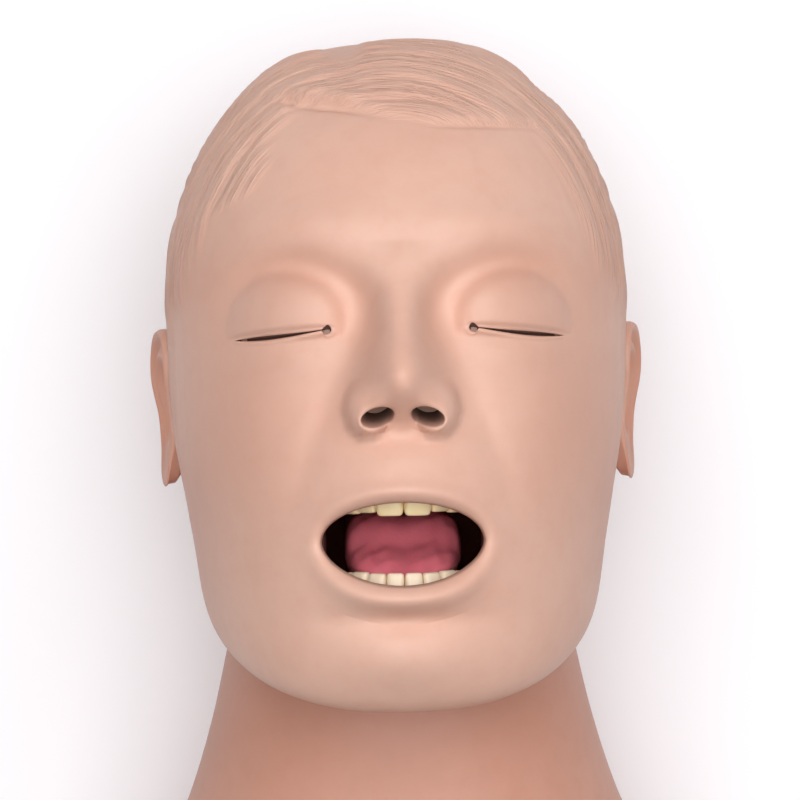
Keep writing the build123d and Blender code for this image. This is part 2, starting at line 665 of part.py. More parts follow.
def row_of_teeth(depth, gum_y, height, sizes, direction):
    """Row of crowns on a thin strip; direction is the way along Y that they point."""
    with BuildPart(mode=Mode.PRIVATE) as row:
        for x, z, along, width, thickness in tooth_places(depth, sizes):
            for side in (-1, 1):
                plane = Plane(
                    origin=(side * x, gum_y, z),
                    x_dir=(along.X, 0, side * along.Z),
                    z_dir=(0, direction, 0),
                )
                with BuildSketch(plane):
                    RectangleRounded(width * 0.94, thickness, thickness * 0.3)
                with BuildSketch(plane.offset(height)):
                    RectangleRounded(width * 0.97, thickness * 0.55, thickness * 0.2)
                loft()
        with BuildSketch(Plane(origin=(0, gum_y, 0), x_dir=(1, 0, 0), z_dir=(0, direction, 0))):
            strip = arch_band(depth, 3.0, legs=False)
            add(strip if direction < 0 else mirror(strip, about=Plane.XZ, mode=Mode.PRIVATE))
        extrude(amount=height * 0.3)
    return row.part


# Upper and lower teeth: each one hard strip of crowns, incisors to first molars.
with BuildPart() as upper_teeth:
    add(row_of_teeth(
        UPPER_ARCH_DEPTH, head_y(-UPPER_GUM_DROP), UPPER_TOOTH, UPPER_TEETH, -1
    ))
finish(upper_teeth.part, "upper_teeth")
with BuildPart() as lower_teeth:
    add(row_of_teeth(
        LOWER_ARCH_DEPTH, head_y(-LOWER_GUM_DROP), LOWER_TOOTH, LOWER_TEETH, 1
    ))
finish(lower_teeth.part, "lower_teeth")

# Mandible: horseshoe with its gum ridge, mouth floor and two hinge arms.
with BuildPart() as mandible:
    ridge_bottom = LOWER_GUM_DROP + GUM_STRIP
    with BuildSketch(along_y(head_y(-LOWER_GUM_DROP))):
        add(arch_band(LOWER_ARCH_DEPTH, GUM_WIDTH, legs=False))
    extrude(amount=GUM_STRIP)
    with BuildSketch(along_y(head_y(-ridge_bottom))):
        add(arch_band(CHIN_ARCH_DEPTH, CHIN_WIDTH, legs=False))
    extrude(amount=CHIN_BOTTOM_DROP - ridge_bottom)
    with BuildSketch(along_y(head_y(-CHIN_BOTTOM_DROP + MOUTH_FLOOR))):
        with Locations((0, ARCH_BACK_Z)):
            Ellipse(ARCH_HALF_WIDTH, CHIN_ARCH_DEPTH)
        with Locations((0, ARCH_BACK_Z - CHIN_ARCH_DEPTH - 6)):
            Rectangle(4 * ARCH_HALF_WIDTH, 2 * CHIN_ARCH_DEPTH, mode=Mode.SUBTRACT)
    extrude(amount=MOUTH_FLOOR)
    outer = RAMUS_X + RAMUS_THICKNESS
    for side in (-1, 1):
        inner_edge = ARCH_HALF_WIDTH - GUM_WIDTH / 2
        outer_edge = ARCH_HALF_WIDTH + GUM_WIDTH / 2
        with BuildSketch(along_y(head_y(-JAW_BODY_TOP_DROP))):
            with BuildLine():
                Polyline(
                    (side * (inner_edge + 2), ARCH_BACK_Z + 5),
                    (side * (outer_edge - 2), ARCH_BACK_Z + 5),
                    (side * outer, JAW_ANGLE_Z + 26),
                    (side * outer, JAW_ANGLE_Z + 20),
                    (side * RAMUS_X, JAW_ANGLE_Z + 20),
                    (side * inner_edge, ARCH_BACK_Z - 4),
                    close=True,
                )
            make_face()
        extrude(amount=JAW_BODY_BOTTOM_DROP - JAW_BODY_TOP_DROP)
        with BuildSketch(Plane.YZ.offset(side * (RAMUS_X + RAMUS_THICKNESS / 2))):
            with Locations((JAW_Y, JAW_AXIS_Z)):
                Circle(JAW_EYE / 2)
            with BuildLine():
                Polyline(
                    (JAW_Y, JAW_AXIS_Z - JAW_EYE / 2),
                    (head_y(-55), JAW_ANGLE_Z),
                    (head_y(-60), JAW_ANGLE_Z + 10),
                    (head_y(-JAW_BODY_BOTTOM_DROP + 1), JAW_ANGLE_Z + 24),
                    (head_y(-JAW_BODY_TOP_DROP - 1), JAW_ANGLE_Z + 25),
                    (head_y(-24), JAW_AXIS_Z + 14),
                    (JAW_Y, JAW_AXIS_Z + JAW_EYE / 2),
                    close=True,
                )
            make_face()
        extrude(amount=RAMUS_THICKNESS / 2, both=True)
    with BuildSketch(Plane.YZ):
        with Locations((JAW_Y, JAW_AXIS_Z)):
            Circle(JAW_BUSH / 2)
    extrude(amount=HEAD_HALF_BREADTH, both=True, mode=Mode.SUBTRACT)
finish(mandible.part, "mandible")

# Jaw hinge: a headed pin pressed into each lug turns in a bush in the jaw's arm.
for side, name in ((-1, "left"), (1, "right")):
    with BuildPart() as jaw_bush:
        with BuildSketch(Plane.YZ.offset(side * (RAMUS_X + RAMUS_THICKNESS / 2))):
            with Locations((JAW_Y, JAW_AXIS_Z)):
                Circle(JAW_BUSH / 2)
                Circle(JAW_PIN / 2 + FIT_GAP, mode=Mode.SUBTRACT)
        extrude(amount=RAMUS_THICKNESS / 2, both=True)
    finish(jaw_bush.part, f"jaw_bush_{name}")
    with BuildPart() as jaw_pin:
        pin_plane = Plane(
            origin=(side * (LUG_MIDDLE_X + JAW_LUG_THICKNESS / 2), JAW_Y, JAW_AXIS_Z),
            x_dir=(0, 1, 0),
            z_dir=(-side, 0, 0),
        )
        with BuildSketch(pin_plane):
            Circle(JAW_PIN / 2)
        extrude(amount=JAW_LUG_THICKNESS + RUN_GAP + RAMUS_THICKNESS)
        with BuildSketch(pin_plane):
            Circle(JAW_PIN / 2 + 2)
        extrude(amount=-2)
    finish(jaw_pin.part, f"jaw_pin_{name}")

# Tongue: soft vinyl on the mouth floor, lofted from its tip to its root.
with BuildPart() as tongue:
    for z, half, low, high in TONGUE_SECTIONS:
        with BuildSketch(Plane.XY.offset(z)):
            with Locations((0, head_y((low + high) / 2))):
                Ellipse(half, (high - low) / 2)
    loft()
finish(tongue.part, "tongue")

# Cheek linings: thin curved walls between the rows of teeth and the cheeks.
for side, name in ((-1, "left"), (1, "right")):
    with BuildPart() as cheek_lining:
        with BuildSketch(along_y(head_y(-CHEEK_TOP_DROP))):
            add(arch_band(UPPER_ARCH_DEPTH, 2 * (CHEEK_STAND_OFF + CHEEK_WALL), legs=False))
            with Locations((0, ARCH_BACK_Z)):
                Ellipse(
                    ARCH_HALF_WIDTH + CHEEK_STAND_OFF, UPPER_ARCH_DEPTH + CHEEK_STAND_OFF,
                    mode=Mode.SUBTRACT,
                )
            with Locations((
                side * (ARCH_HALF_WIDTH + CHEEK_STAND_OFF + CHEEK_WALL / 2), ARCH_BACK_Z - ARCH_LEG / 2
            )):
                Rectangle(CHEEK_WALL, ARCH_LEG)
            with Locations((-side * 50 + side * CHEEK_FRONT_X, ARCH_BACK_Z)):
                Rectangle(100, 120, mode=Mode.SUBTRACT)
        extrude(amount=CHEEK_BOTTOM_DROP - CHEEK_TOP_DROP)
    finish(cheek_lining.part, f"cheek_lining_{name}")

# Nasal passages: soft tubes from the nostrils back to the throat.
for side, name in ((-1, "left"), (1, "right")):
    with BuildPart() as passage:
        with BuildLine() as way:
            ThreePointArc(
                (side * NOSTRIL_X, head_y(-3), NASAL_FRONT_Z),
                (side * NOSTRIL_X, head_y(0), (NASAL_FRONT_Z + NASAL_BACK_Z) / 2),
                (side * NOSTRIL_X, head_y(-4), NASAL_BACK_Z),
            )
        with BuildSketch(Plane(origin=way.line @ 0, z_dir=way.line % 0)):
            Circle(NASAL_OUTSIDE / 2)
            Circle(NASAL_BORE / 2, mode=Mode.SUBTRACT)
        sweep(path=way.line)
    finish(passage.part, f"nasal_passage_{name}")

# Soft palate: a curved flap behind the hard palate.
with BuildPart() as soft_palate:
    root_z = ARCH_BACK_Z - ARCH_LEG - SEAT_GAP
    tip_z = SLEEVE_Z + 8
    with BuildSketch(Plane.YZ):
        with BuildLine():
            over = ThreePointArc(
                (head_y(-PALATE_TOP_DROP - 1), root_z),
                (head_y(-PALATE_TOP_DROP - 5), (root_z + tip_z) / 2 + 2),
                (head_y(-PALATE_TOP_DROP - 17), tip_z),
            )
            Line(over @ 1, (head_y(-PALATE_TOP_DROP - 17 - SOFT_PALATE), tip_z + 1))
            under = ThreePointArc(
                (head_y(-PALATE_TOP_DROP - 17 - SOFT_PALATE), tip_z + 1),
                (head_y(-PALATE_TOP_DROP - 5 - SOFT_PALATE), (root_z + tip_z) / 2 + 3),
                (head_y(-PALATE_TOP_DROP - 1 - SOFT_PALATE), root_z),
            )
            Line(under @ 1, over @ 0)
        make_face()
    extrude(amount=SOFT_PALATE_WIDTH / 2, both=True)
finish(soft_palate.part, "soft_palate")


def sleeve_solid(inset, top):
    """Throat sleeve's form: an oval that deepens towards the larynx."""
    with BuildPart(mode=Mode.PRIVATE) as solid:
        for y, z, half_depth in (
            (top, SLEEVE_Z, SLEEVE_HALF_DEPTH),
            (head_y(-56), SLEEVE_Z, SLEEVE_HALF_DEPTH),
            (LARYNX_Y, FLANGE_Z, LARYNX_FLANGE_DEPTH / 2 + SEAT_GAP + SLEEVE_WALL),
            (LARYNX_Y - LARYNX_FLANGE, FLANGE_Z, LARYNX_FLANGE_DEPTH / 2 + SEAT_GAP + SLEEVE_WALL),
        ):
            half = LARYNX_FLANGE_WIDTH / 2 + SEAT_GAP + SLEEVE_WALL
            with BuildSketch(along_y(y, z=z)):
                Ellipse(half - inset, half_depth - inset)
        loft(ruled=True)
    return solid.part


# Throat sleeve: soft tube under the skull plate, open in front to the mouth, with
# two holes for the nasal passages, drawn over the larynx flange below.
with BuildPart() as pharynx_sleeve:
    sleeve_top = PLATE_Y - RUN_GAP
    add(sleeve_solid(0, sleeve_top))
    add(sleeve_solid(SLEEVE_WALL, sleeve_top - SLEEVE_WALL), mode=Mode.SUBTRACT)
    with BuildSketch(Plane.XY.offset(SLEEVE_Z + 4)):
        with Locations((0, head_y(-(SLEEVE_WINDOW_TOP_DROP + SLEEVE_WINDOW_BOTTOM_DROP) / 2))):
            RectangleRounded(
                SOFT_PALATE_WIDTH + 2 * RUN_GAP,
                SLEEVE_WINDOW_BOTTOM_DROP - SLEEVE_WINDOW_TOP_DROP, 4,
            )
    extrude(amount=2 * SLEEVE_HALF_DEPTH, mode=Mode.SUBTRACT)
    with BuildSketch(Plane.XY.offset(SLEEVE_Z)):
        with Locations((-NOSTRIL_X, head_y(-3.5)), (NOSTRIL_X, head_y(-3.5))):
            Circle(NASAL_OUTSIDE / 2 + 0.8)
    extrude(amount=2 * SLEEVE_HALF_DEPTH, mode=Mode.SUBTRACT)
finish(pharynx_sleeve.part, "pharynx_sleeve")

# Larynx: flange with the inlets of windpipe and gullet, barrel with its front
# ridge, and a spigot for each hose.
with BuildPart() as larynx:
    barrel_y = LARYNX_Y - LARYNX_FLANGE - LARYNX_BARREL
    with BuildSketch(along_y(LARYNX_Y, z=FLANGE_Z)):
        Ellipse(LARYNX_FLANGE_WIDTH / 2, LARYNX_FLANGE_DEPTH / 2)
    extrude(amount=LARYNX_FLANGE)
    round_bar(barrel_y, LARYNX_Y - LARYNX_FLANGE, LARYNX_OUTSIDE, 0, TRACHEA_Z)
    with BuildSketch(along_y(barrel_y, z=TRACHEA_Z)):
        Circle(LARYNX_OUTSIDE / 2)
    with BuildSketch(along_y(LARYNX_END_Y, z=TRACHEA_Z)):
        Circle(TRACHEA_PIPE / 2 + TRACHEA_WALL)
    loft()
    round_bar(LARYNX_END_Y - SPIGOT_LENGTH, LARYNX_END_Y, TRACHEA_PIPE, 0, TRACHEA_Z)
    round_bar(
        LARYNX_Y - LARYNX_FLANGE - SPIGOT_LENGTH, LARYNX_Y - LARYNX_FLANGE,
        GULLET_PIPE, 0, GULLET_Z,
    )
    with BuildSketch(Plane.YZ):
        with BuildLine():
            Polyline(
                (LARYNX_Y - LARYNX_FLANGE, TRACHEA_Z + LARYNX_OUTSIDE / 2 - 2),
                (LARYNX_Y - LARYNX_FLANGE - 3, TRACHEA_Z + LARYNX_OUTSIDE / 2 + 4),
                (barrel_y + 2, TRACHEA_Z + LARYNX_OUTSIDE / 2 - 2),
                close=True,
            )
        make_face()
    extrude(amount=3, both=True)
    round_bar(barrel_y, LARYNX_Y, LARYNX_BORE, 0, TRACHEA_Z, Mode.SUBTRACT)
    round_bar(LARYNX_END_Y - SPIGOT_LENGTH, barrel_y, PORT_BORE, 0, TRACHEA_Z, Mode.SUBTRACT)
    round_bar(
        LARYNX_Y - LARYNX_FLANGE - SPIGOT_LENGTH, LARYNX_Y,
        GULLET_PORT_BORE, 0, GULLET_Z, Mode.SUBTRACT,
    )
finish(larynx.part, "larynx")

# Epiglottis: a leaf standing on the larynx flange behind the tongue.
with BuildPart() as epiglottis:
    leaf = Plane(
        origin=(0, LARYNX_Y, TRACHEA_Z + LARYNX_BORE / 2 - 2), x_dir=(1, 0, 0), z_dir=(0, 0.36, 0.93)
    )
    with BuildSketch(leaf):
        with Locations((0, 12)):
            Ellipse(9, 13)
        with Locations((0, 2)):
            Rectangle(9, 8)
    extrude(amount=2.5)
    with BuildSketch(along_y(LARYNX_Y, z=TRACHEA_Z)):
        Rectangle(4 * LARYNX_BORE, 4 * LARYNX_BORE)
    extrude(amount=20, mode=Mode.SUBTRACT)
finish(epiglottis.part, "epiglottis")

# Vocal folds: a soft disc in the larynx with the wedge-shaped cleft.
with BuildPart() as vocal_folds:
    folds_y = LARYNX_Y - LARYNX_FLANGE - 6
    with BuildSketch(along_y(folds_y, z=TRACHEA_Z)):
        Circle(LARYNX_BORE / 2 - SEAT_GAP)
        with BuildLine():
            Polyline((0, 7), (-4.2, -6), (4.2, -6), close=True)
        make_face(mode=Mode.SUBTRACT)
    extrude(amount=4)
finish(vocal_folds.part, "vocal_folds")

# Windpipe hose: ringed, with a plain cuff at each end.
with BuildPart() as trachea_tube:
    cuff = TRACHEA_PIPE / 2 + HOSE_FIT + TRACHEA_WALL
    with BuildSketch(Plane.XY.offset(TRACHEA_Z)):
        with BuildLine():
            points = [(TRACHEA_PIPE / 2 + HOSE_FIT, HOSE_BACK_Y), (cuff, HOSE_BACK_Y)]
            ring_pitch = (HOSE_FRONT_Y - HOSE_BACK_Y - 2 * CUFF_LENGTH) / TRACHEA_RINGS
            for ring in range(TRACHEA_RINGS):
                start = HOSE_BACK_Y + CUFF_LENGTH + ring * ring_pitch
                points += [
                    (cuff, start),
                    (cuff + RING_HEIGHT, start + 0.25 * ring_pitch),
                    (cuff + RING_HEIGHT, start + 0.65 * ring_pitch),
                    (cuff, start + 0.9 * ring_pitch),
                ]
            points += [(cuff, HOSE_FRONT_Y), (TRACHEA_PIPE / 2 + HOSE_FIT, HOSE_FRONT_Y)]
            Polyline(*points, close=True)
        make_face()
    revolve(axis=Axis((0, 0, TRACHEA_Z), (0, 1, 0)))
finish(trachea_tube.part, "trachea_tube")

# Gullet hose: plain soft tube behind the windpipe.
with BuildPart() as gullet_tube:
    gullet_front = LARYNX_Y - LARYNX_FLANGE - RUN_GAP
    gullet_outside = GULLET_PIPE + 2 * (HOSE_FIT + GULLET_WALL)
    round_bar(HOSE_BACK_Y, gullet_front, gullet_outside, 0, GULLET_Z)
    round_bar(
        HOSE_BACK_Y, gullet_front, GULLET_PIPE + 2 * HOSE_FIT, 0, GULLET_Z, Mode.SUBTRACT
    )
finish(gullet_tube.part, "gullet_tube")

# Ports: flanged spigots in the end plate, where lungs and stomach bags connect.
for name, pipe, bore, flange, z in (
    ("trachea_port", TRACHEA_PIPE, PORT_BORE, PORT_FLANGE, TRACHEA_Z),
    ("gullet_port", GULLET_PIPE, GULLET_PORT_BORE, GULLET_PORT_FLANGE, GULLET_Z),
):
    with BuildPart() as port:
        round_bar(END_FACE_Y - FLANGE_THICKNESS, END_FACE_Y, flange, 0, z)
        round_bar(END_FACE_Y, WALL_FRONT_Y + PORT_REACH, pipe, 0, z)
        round_bar(
            END_FACE_Y - FLANGE_THICKNESS, WALL_FRONT_Y + PORT_REACH, bore, 0, z, Mode.SUBTRACT
        )
    finish(port.part, name)

# Hose clamps: sprung bands round the cuffs.
for name, middle_y, inside, z in (
    ("trachea_clamp", WALL_FRONT_Y + 9, 2 * cuff, TRACHEA_Z),
    ("larynx_clamp", LARYNX_END_Y - 7, 2 * cuff, TRACHEA_Z),
    ("gullet_clamp", WALL_FRONT_Y + 9, gullet_outside, GULLET_Z),
):
    with BuildPart() as clamp:
        y_from, y_to = middle_y - CLAMP_WIDTH / 2, middle_y + CLAMP_WIDTH / 2
        round_bar(y_from, y_to, inside + 2 * (SEAT_GAP + CLAMP_WALL), 0, z)
        round_bar(y_from, y_to, inside + 2 * SEAT_GAP, 0, z, Mode.SUBTRACT)
    finish(clamp.part, name)

# Neck link: ribbed column from the neck hinge up to the turning spindle.
with BuildPart() as neck_link:
    with BuildSketch(Plane.YZ):
        with Locations((TILT_Y, TILT_Z)):
            Circle(TILT_EYE / 2)
        with BuildLine():
            Polyline(
                (TILT_Y, LINK_BACK_Z),
                (SHOULDER_Y - LINK_HEAD_LENGTH - 12, LINK_BACK_Z),
                (SHOULDER_Y, TURN_Z - SPINDLE / 2 - 5),
                (SHOULDER_Y, LINK_HEAD_Z),
                (SHOULDER_Y - LINK_HEAD_LENGTH, LINK_HEAD_Z),
                (SHOULDER_Y - LINK_HEAD_LENGTH - 8, LINK_FRONT_Z),
                (TILT_Y, LINK_FRONT_Z),
                close=True,
            )
        make_face()
    extrude(amount=LINK_WIDTH / 2, both=True)
    for side in (-1, 1):
        with BuildSketch(Plane.YZ.offset(side * LINK_WIDTH / 2)):
            for y_from, y_to in POCKETS:
                with Locations(((y_from + y_to) / 2, (LINK_BACK_Z + LINK_FRONT_Z) / 2)):
                    RectangleRounded(y_to - y_from, LINK_FRONT_Z - LINK_BACK_Z - 8, 4)
        extrude(amount=-side * (LINK_WIDTH - LINK_WEB) / 2, mode=Mode.SUBTRACT)
    round_bar(SHOULDER_Y, BUSH_TOP_Y + RUN_GAP, SPINDLE, 0, TURN_Z)
    round_bar(SHOULDER_Y, BUSH_TOP_Y + RUN_GAP, TURN_SCREW, 0, TURN_Z, Mode.SUBTRACT)
    with BuildSketch(Plane.YZ):
        with Locations((TILT_Y, TILT_Z)):
            Circle(TILT_PIN / 2 + FIT_GAP)
        with Locations((CRADLE_Y, CRADLE_SCREW_Z)):
            Circle(CRADLE_SCREW / 2)
    extrude(amount=LINK_WIDTH, both=True, mode=Mode.SUBTRACT)
finish(neck_link.part, "neck_link")

# Washer and screw keep the head on the spindle.
with BuildPart() as turn_washer:
    washer_y = BUSH_TOP_Y + RUN_GAP
    round_bar(washer_y, washer_y + WASHER_THICKNESS, WASHER, 0, TURN_Z)
    round_bar(
        washer_y, washer_y + WASHER_THICKNESS, TURN_SCREW + 2 * SEAT_GAP, 0, TURN_Z, Mode.SUBTRACT
    )
finish(turn_washer.part, "turn_washer")
with BuildPart() as turn_screw:
    screw_y = washer_y + WASHER_THICKNESS
    round_bar(screw_y, screw_y + 5, TURN_SCREW * 1.7, 0, TURN_Z)
    round_bar(SHOULDER_Y, screw_y, TURN_SCREW, 0, TURN_Z)
    with BuildSketch(along_y(screw_y + 5, z=TURN_Z)):
        RegularPolygon(TURN_SCREW * 0.45, 6)
    extrude(amount=3, mode=Mode.SUBTRACT)
finish(turn_screw.part, "turn_screw")

# Larynx cradle: bracket astride the neck link that holds the larynx barrel.
with BuildPart() as larynx_cradle:
    with BuildSketch(along_y(CRADLE_Y + CRADLE_LENGTH / 2)):
        with Locations((0, (CRADLE_BOTTOM_Z + TRACHEA_Z + 4) / 2)):
            Rectangle(LINK_WIDTH + 2 * CRADLE_ARM, TRACHEA_Z + 4 - CRADLE_BOTTOM_Z)
        with Locations((0, TRACHEA_Z)):
            Circle(LARYNX_OUTSIDE / 2 + SEAT_GAP, mode=Mode.SUBTRACT)
        with Locations((0, GULLET_Z)):
            Circle(gullet_outside / 2 + RUN_GAP, mode=Mode.SUBTRACT)
        with Locations((0, LINK_FRONT_Z - 50)):
            Rectangle(LINK_WIDTH + 2 * SEAT_GAP, 100, mode=Mode.SUBTRACT)
    extrude(amount=CRADLE_LENGTH)
    with BuildSketch(Plane.YZ):
        with Locations((CRADLE_Y, CRADLE_SCREW_Z)):
            Circle(CRADLE_SCREW / 2 + SEAT_GAP)
    extrude(amount=LINK_WIDTH, both=True, mode=Mode.SUBTRACT)
finish(larynx_cradle.part, "larynx_cradle")
with BuildPart() as cradle_screw:
    half_length = LINK_WIDTH / 2 + CRADLE_ARM
    with BuildSketch(Plane.YZ):
        with Locations((CRADLE_Y, CRADLE_SCREW_Z)):
            Circle(CRADLE_SCREW / 2)
    extrude(amount=half_length, both=True)
    for side in (-1, 1):
        with BuildSketch(Plane.YZ.offset(side * half_length)):
            with Locations((CRADLE_Y, CRADLE_SCREW_Z)):
                Circle(CRADLE_SCREW)
        extrude(amount=side * 2)
finish(cradle_screw.part, "cradle_screw")

# Shoulder base: foot, end wall with the two pipe holes, hinge lugs and gussets.
with BuildPart() as shoulder_base:
    with BuildSketch(Plane.XY):
        RectangleRounded(BASE_WIDTH, BASE_LENGTH, 4)
    extrude(amount=BASE_THICKNESS)
    with BuildSketch(along_y(WALL_FRONT_Y)):
        with Locations((0, (BASE_THICKNESS + WALL_TOP) / 2)):
            Rectangle(WALL_WIDTH, WALL_TOP - BASE_THICKNESS)
    extrude(amount=WALL_THICKNESS)
    fillet(shoulder_base.edges().filter_by(Axis.Y).group_by(Axis.Z)[-1], WALL_CORNER)
    for side in (-1, 1):
        lug_middle = side * (LINK_WIDTH / 2 + RUN_GAP + LUG_THICKNESS / 2)
        with BuildSketch(Plane.YZ.offset(lug_middle)):
            with Locations((TILT_Y, TILT_Z)):
                Circle(TILT_EYE / 2)
            with BuildLine():
                Polyline(
                    (TILT_Y + TILT_EYE / 2, TILT_Z),
                    (BASE_FRONT_Y, BASE_THICKNESS),
                    (WALL_FRONT_Y, BASE_THICKNESS),
                    (WALL_FRONT_Y, TILT_Z),
                    (TILT_Y, TILT_Z + TILT_EYE / 2),
                    close=True,
                )
            make_face()
        extrude(amount=LUG_THICKNESS / 2, both=True)
    with BuildSketch(Plane.YZ):
        with Locations((TILT_Y, TILT_Z)):
            Circle(TILT_PIN / 2)
    extrude(amount=BASE_WIDTH, both=True, mode=Mode.SUBTRACT)
    for pipe, z in ((TRACHEA_PIPE, TRACHEA_Z), (GULLET_PIPE, GULLET_Z)):
        round_bar(WALL_BACK_Y, WALL_FRONT_Y, pipe + 2 * SEAT_GAP, 0, z, Mode.SUBTRACT)
    for x, z in END_SCREWS:
        round_bar(WALL_BACK_Y, WALL_FRONT_Y, END_SCREW, x, z, Mode.SUBTRACT)
finish(shoulder_base.part, "shoulder_base")

# Hinge pin of the neck, pressed into the two lugs.
with BuildPart() as tilt_pin:
    with BuildSketch(Plane.YZ):
        with Locations((TILT_Y, TILT_Z)):
            Circle(TILT_PIN / 2)
    extrude(amount=LINK_WIDTH / 2 + RUN_GAP + LUG_THICKNESS + 1, both=True)
finish(tilt_pin.part, "tilt_pin")

# End plate: closes the shoulder skin where the trainer is cut off flat.
with BuildPart() as end_plate:
    with BuildSketch(along_y(WALL_BACK_Y)):
        with BuildLine():
            Spline(*neck_points(END_ROW, SKIN_WALL + 2 * SKIN_GAP), periodic=True)
        make_face()
    extrude(amount=END_PLATE_THICKNESS)
    for pipe, z in ((TRACHEA_PIPE, TRACHEA_Z), (GULLET_PIPE, GULLET_Z)):
        round_bar(END_FACE_Y, WALL_BACK_Y, pipe + 2 * SEAT_GAP, 0, z, Mode.SUBTRACT)
    for x, z in END_SCREWS:
        round_bar(END_FACE_Y, WALL_BACK_Y, END_SCREW + 2 * SEAT_GAP, x, z, Mode.SUBTRACT)
finish(end_plate.part, "end_plate")

# Four pan-head screws hold the end plate to the wall.
with BuildPart() as end_plate_screws:
    for x, z in END_SCREWS:
        round_bar(END_FACE_Y, WALL_FRONT_Y, END_SCREW, x, z)
        round_bar(END_FACE_Y - 3, END_FACE_Y, 1.9 * END_SCREW, x, z)
        with BuildSketch(along_y(END_FACE_Y - 1.2, x, z)):
            RegularPolygon(END_SCREW * 0.42, 6)
        extrude(amount=3, mode=Mode.SUBTRACT)
finish(end_plate_screws.part, "end_plate_screws")
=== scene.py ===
import json
import math
import bmesh
import bpy
import numpy as np
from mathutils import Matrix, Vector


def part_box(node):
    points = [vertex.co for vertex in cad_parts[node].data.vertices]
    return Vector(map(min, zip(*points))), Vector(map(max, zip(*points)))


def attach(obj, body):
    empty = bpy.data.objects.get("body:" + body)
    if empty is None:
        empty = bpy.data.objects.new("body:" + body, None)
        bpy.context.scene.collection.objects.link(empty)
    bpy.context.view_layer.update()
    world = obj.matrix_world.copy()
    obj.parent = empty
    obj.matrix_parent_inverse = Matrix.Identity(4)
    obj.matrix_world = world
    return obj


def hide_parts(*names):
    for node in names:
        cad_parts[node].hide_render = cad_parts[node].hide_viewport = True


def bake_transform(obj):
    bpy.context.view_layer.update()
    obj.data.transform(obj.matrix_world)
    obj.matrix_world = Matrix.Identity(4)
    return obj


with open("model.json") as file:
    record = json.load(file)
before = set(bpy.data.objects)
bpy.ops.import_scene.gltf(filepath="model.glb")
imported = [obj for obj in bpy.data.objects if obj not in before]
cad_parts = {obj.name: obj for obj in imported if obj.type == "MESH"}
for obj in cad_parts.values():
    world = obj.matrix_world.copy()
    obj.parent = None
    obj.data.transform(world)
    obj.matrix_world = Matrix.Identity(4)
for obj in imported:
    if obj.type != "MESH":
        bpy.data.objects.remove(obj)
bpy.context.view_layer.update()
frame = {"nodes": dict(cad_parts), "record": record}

# Camera: a normal lens about 0.9 m above the cheeks looks straight down on the
# face. The head lies turned by one degree and rolled by one degree under it.
MM = 0.001
EAR_Y = 200.0
CHEEK_Z = 85.0
CAMERA_REACH = 900.0
CAMERA_YAW = math.radians(0.9)
CAMERA_ROLL = math.radians(1.0)
VIEW_X = 1.0
VIEW_Y = 199.0
VIEW_ANGLE = math.radians(17.43)
camera = bpy.data.objects.new("camera", bpy.data.cameras.new("camera"))
bpy.context.scene.collection.objects.link(camera)
camera.data.sensor_fit = "HORIZONTAL"
camera.data.angle = VIEW_ANGLE
camera.data.clip_start = 0.05
camera.location = (
    (VIEW_X - CAMERA_REACH * math.sin(CAMERA_YAW)) * MM,
    VIEW_Y * MM,
    (CHEEK_Z + CAMERA_REACH * math.cos(CAMERA_YAW)) * MM,
)
camera.rotation_euler = (0.0, -CAMERA_YAW, -CAMERA_ROLL)
bpy.context.scene.camera = camera
bpy.context.scene.view_settings.view_transform = "Standard"

# Light: one wide softbox overhead, a little towards the crown, two weak side boxes
# and a white room, at a level where a colour shows about as it is written.
ROOM_LIGHT = 0.22
BOXES = [
    # name, place, size, watts
    ("key", (0.04, 0.42, 1.5), 1.7, 27.5),
    ("left", (-1.1, 0.35, 1.1), 0.8, 0.4),
    ("right", (1.1, 0.25, 1.1), 0.8, 0.8),
]
for name, place, size, watts in BOXES:
    lamp = bpy.data.lights.new(name, "AREA")
    lamp.size = size
    lamp.energy = watts
    lamp_object = bpy.data.objects.new(name, lamp)
    lamp_object.location = place
    aim = np.array([0.0, EAR_Y * MM, 0.12]) - np.array(place)
    lamp_object.rotation_euler = (
        math.atan2(math.hypot(aim[0], aim[1]), -aim[2]), 0.0, math.atan2(-aim[0], aim[1])
    )
    bpy.context.scene.collection.objects.link(lamp_object)


def linear(code):
    """sRGB hex colour as linear light, with alpha 1."""
    shares = [int(code[i:i + 2], 16) / 255 for i in (1, 3, 5)]
    return tuple(s / 12.92 if s <= 0.04045 else ((s + 0.055) / 1.055) ** 2.4 for s in shares) + (1.0,)


def add_node(tree, kind, settings=None, links=None):
    """One shader node with its settings and input links, each as name: value."""
    node = tree.nodes.new(kind)
    for name, value in (settings or {}).items():
        if name in node.inputs:
            node.inputs[name].default_value = value
        else:
            setattr(node, name, value)
    for name, socket in (links or {}).items():
        tree.links.new(socket, node.inputs[name])
    return node


world = bpy.data.worlds.new("room")
world.use_nodes = True
tree = world.node_tree
tree.nodes.clear()
rays = add_node(tree, "ShaderNodeLightPath")
seen = add_node(tree, "ShaderNodeMath", {"operation": "MAXIMUM"})
tree.links.new(rays.outputs["Is Camera Ray"], seen.inputs[0])
tree.links.new(rays.outputs["Is Transmission Ray"], seen.inputs[1])
room = add_node(tree, "ShaderNodeBackground", {"Strength": ROOM_LIGHT})
white = add_node(tree, "ShaderNodeBackground", {"Strength": 1.0})
both = add_node(tree, "ShaderNodeMixShader", links={"Fac": seen.outputs[0]})
tree.links.new(room.outputs[0], both.inputs[1])
tree.links.new(white.outputs[0], both.inputs[2])
add_node(tree, "ShaderNodeOutputWorld", links={"Surface": both.outputs[0]})
bpy.context.scene.world = world

